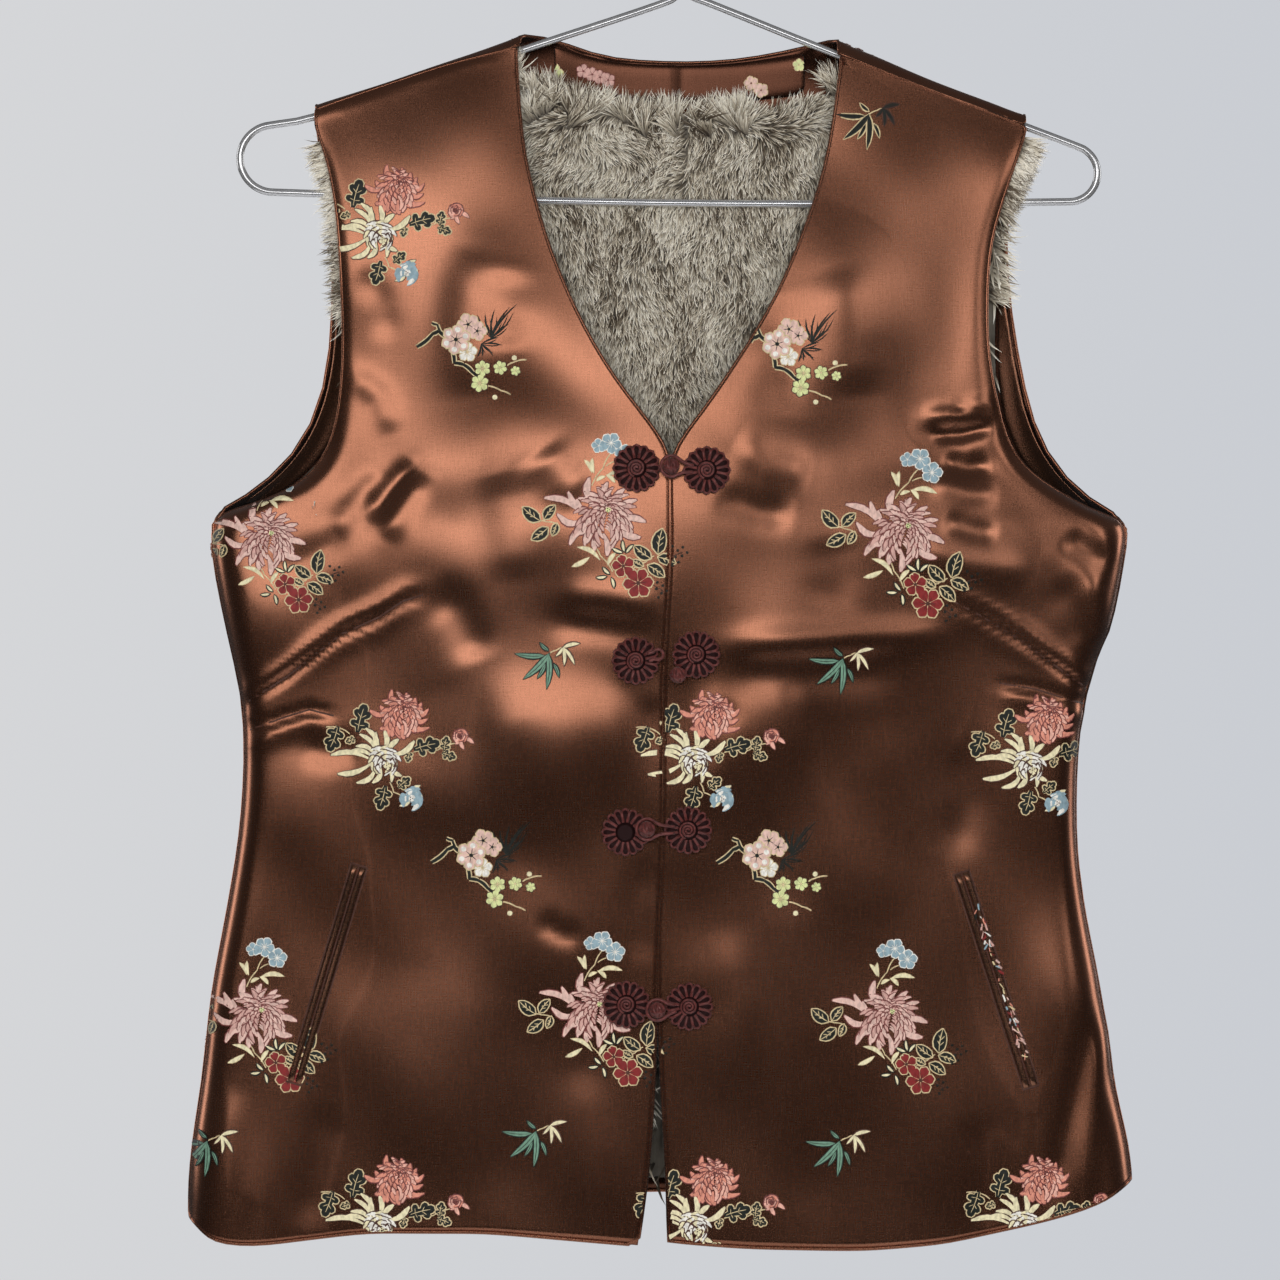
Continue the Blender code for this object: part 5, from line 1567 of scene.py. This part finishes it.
def make_pocket(side):
    """The two welts of a pocket mouth and the threads on them."""
    tree = PANELS[side][1]
    top, bottom = (Vector(co) for co in POCKET_LINES[side])
    along = (bottom - top).normalized()
    outward = Vector((along.y, -along.x)) * math.copysign(1, along.y * top.x)
    for label, shift in (("outer", 1.95), ("inner", -1.95)):
        bm = bmesh.new()
        move = outward * shift
        strip(bm, top + move, bottom + move, 3.5, 0.1, WELT_RISE, WELT_STEPS)
        name = f"welt_{side}_{label}"
        welt = finish_piece("satin_" + name, laid_mesh("satin_" + name, bm, tree), "facing", FACING_SATIN)
        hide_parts(name)
    bm = bmesh.new()
    length = (bottom - top).length
    seam = THREAD_INDEX["brown"]
    for shift in (-4.1, 0.0, 4.1):
        strip(bm, top + outward * shift, bottom + outward * shift, 0.7, 0.12, 0.14, (40, 2), seam)
    for end in (top, bottom):
        strip(bm, end - outward * 4.0, end + outward * 4.0, 1.0, 0.5, 0.5, (8, 2), seam)
    if side == "right":
        choose = np.random.default_rng(77)
        shades = ("pink", "pale", "white", "coral", "gold", "blue", "dark", "pink", "red")
        for number in range(64):
            share = choose.uniform(0.13, 0.86)
            start = top + along * share * length + outward * choose.uniform(0.4, 3.3)
            way = math.degrees(math.atan2(along.y, along.x)) + choose.normal(0, 32)
            end = start + polar(choose.uniform(1.6, 4.2), way)
            shade = THREAD_INDEX[shades[number % len(shades)]]
            strip(bm, start, end, choose.uniform(0.5, 1.1), WELT_RISE, 0.28, (4, 2), shade)
    name = f"pocket_threads_{side}"
    threads = finish_piece(name, laid_mesh(name, bm, tree), "facing", *THREAD_MATERIALS)
    return threads


def make_darts(side, lines):
    """The sewn lines of the bust dart and of the tuck under it, in dark brown thread: partly the seam and
    partly painted shade in the crease.
    """
    bm = bmesh.new()
    for line in lines:
        for start, end in zip(line, line[1:]):
            # dark brown strips: seam thread, and painted shade in the creases of dart and tuck
            strip(bm, start, end, 0.9, 0.06, 0.14, (6, 2), THREAD_INDEX["brown"])
    name = "dart_seams_and_shade_" + side
    return finish_piece(name, laid_mesh(name, bm, PANELS[side][1]), "satin", *THREAD_MATERIALS)


DART_SEAMS_AND_SHADE = {
    "left": make_darts("left", (DART_LEFT, TUCK_LEFT)),
    "right": make_darts("right", (DART_RIGHT, TUCK_RIGHT)),
}
FACING_SATIN = satin_material("facing satin", ((0.36, 0.165, 0.10), (0.46, 0.22, 0.135)))
for side in POCKET_LINES:
    make_pocket(side)

# a darker copy of the copper satin for the neck facing and the back's inner side: painted shade
NECK_SATIN_PAINTED_SHADE = satin_material("neck satin painted shade", ((0.10, 0.040, 0.024), (0.15, 0.060, 0.036)))
back_panel = PANELS["back"][0]
# the back's inner side takes the painted-shade satin
back_panel.data.materials.append(NECK_SATIN_PAINTED_SHADE)
for wall in back_panel.modifiers:
    wall.material_offset = 1
PLEAT = [([(-7.6, -97), (-7.4, -118)], 1.7, 1.5), ([(-4.9, -97), (-5.2, -118)], 1.3, -1.1)]
FACINGS = {"neck_facing": PLEAT, "armhole_facing_left": [], "armhole_facing_right": []}
for node_name, creases in FACINGS.items():
    mesh = rounded_copy(node_name, "satin_" + node_name, 2)
    if creases:
        points, normals = read(mesh), read_normals(mesh)
        total = np.zeros(len(points))
        for line, width, height in creases:
            away, _ = along_line(points[:, [0, 2]] / MM, line)
            total += height * np.exp(-((away / width) ** 2))
        points[:, 1] -= total * MM
        write(mesh, points)
    cloth = NECK_SATIN_PAINTED_SHADE if creases else FACING_SATIN
    facing = finish_piece("satin_" + node_name, mesh, "facing", cloth)
    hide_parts(node_name)


def neck_bits(bm):
    """Flowers cut through by the neck facing: lime, white and pink at the left, a few right."""
    blossom(bm, "lime", "gold", 553, -71, 10, "gold", 6, 10)
    blossom(bm, "cream", "brown", 547, -82, 6.5, "gold", 5, 0)
    blossom(bm, "lime", "gold", 537, -89, 3.6, "gold", 5, 0)
    stem(bm, "gold", [(530, -63), (540, -66), (548, -60)], 1.2)
    for x in (583, 592, 600, 608):
        blossom(bm, "pink", "rose", x, -68 - (x - 583) * 0.35, 7, "rose", 5, x)
    for x, y in ((752, -80), (762, -87)):
        blossom(bm, "pale", "gold", x, y, 7, "rose", 5, x)
    blossom(bm, "lime", "gold", 800, -62, 6, "gold", 5, 20)


neck_mesh = bpy.data.objects["satin_neck_facing"].data
neck_tree = tree_of(neck_mesh)
MOTIFS["neck"] = flat_motif(neck_bits)
neck_flowers = weave("flowers_neck_facing", "neck_facing", neck_tree, {"neck": ((0, 0),)}, 1)
print("pockets and facings ready")

# %% [markdown]
# The panels' edges are bagged out: satin and lining are sewn face to face and turned, so an
# edge is a soft roll. A cord of satin follows each panel's boundary.
#
# %% Edges
ROLL = 0.95 * MM
ROLL_STEP = 3


def boundary_lines(mesh):
    """Closed lines of the places along a sheet's boundary."""
    bm = bmesh.new()
    bm.from_mesh(mesh)
    left = {vert.index: vert for vert in bm.verts if vert.is_boundary}
    lines = []
    while left:
        line = [left.pop(min(left))]
        while True:
            ways = [edge.other_vert(line[-1]) for edge in line[-1].link_edges if edge.is_boundary]
            ways = [vert.index for vert in ways if vert.index in left]
            if not ways:
                break
            line.append(left.pop(ways[0]))
        lines.append([vert.co - vert.normal * (CLOTH / 2) for vert in line])
    bm.free()
    return [line[::ROLL_STEP] for line in lines if len(line) > 3 * ROLL_STEP]


for side, (panel, _, _) in PANELS.items():
    name = "edge_" + side
    mesh = tube(name, boundary_lines(panel.data), ROLL, 1, closed=True)
    mesh.shade_smooth()
    finish_piece(name, mesh, "satin", SATIN)
    print(name, "triangles:", triangles(mesh))

# %% [markdown]
# The number of cloth sheets is printed, a satin and a lining for each panel. The fronts and
# the back hang from the hanger's arms, and the linings are sewn to them.
#
# %% Cut of the cloth
print("sheets:", 2 * len(PANELS))

# %% [markdown]
# Last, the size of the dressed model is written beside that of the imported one.
#
# %% Sizes and finish
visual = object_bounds()
for axis, letter in enumerate("xyz"):
    low = round((CAD_BOX[0][axis] - visual[0][axis]) / MM, 1)
    high = round((visual[1][axis] - CAD_BOX[1][axis]) / MM, 1)
    print(letter, "outside the packed box by mm:", low, high)
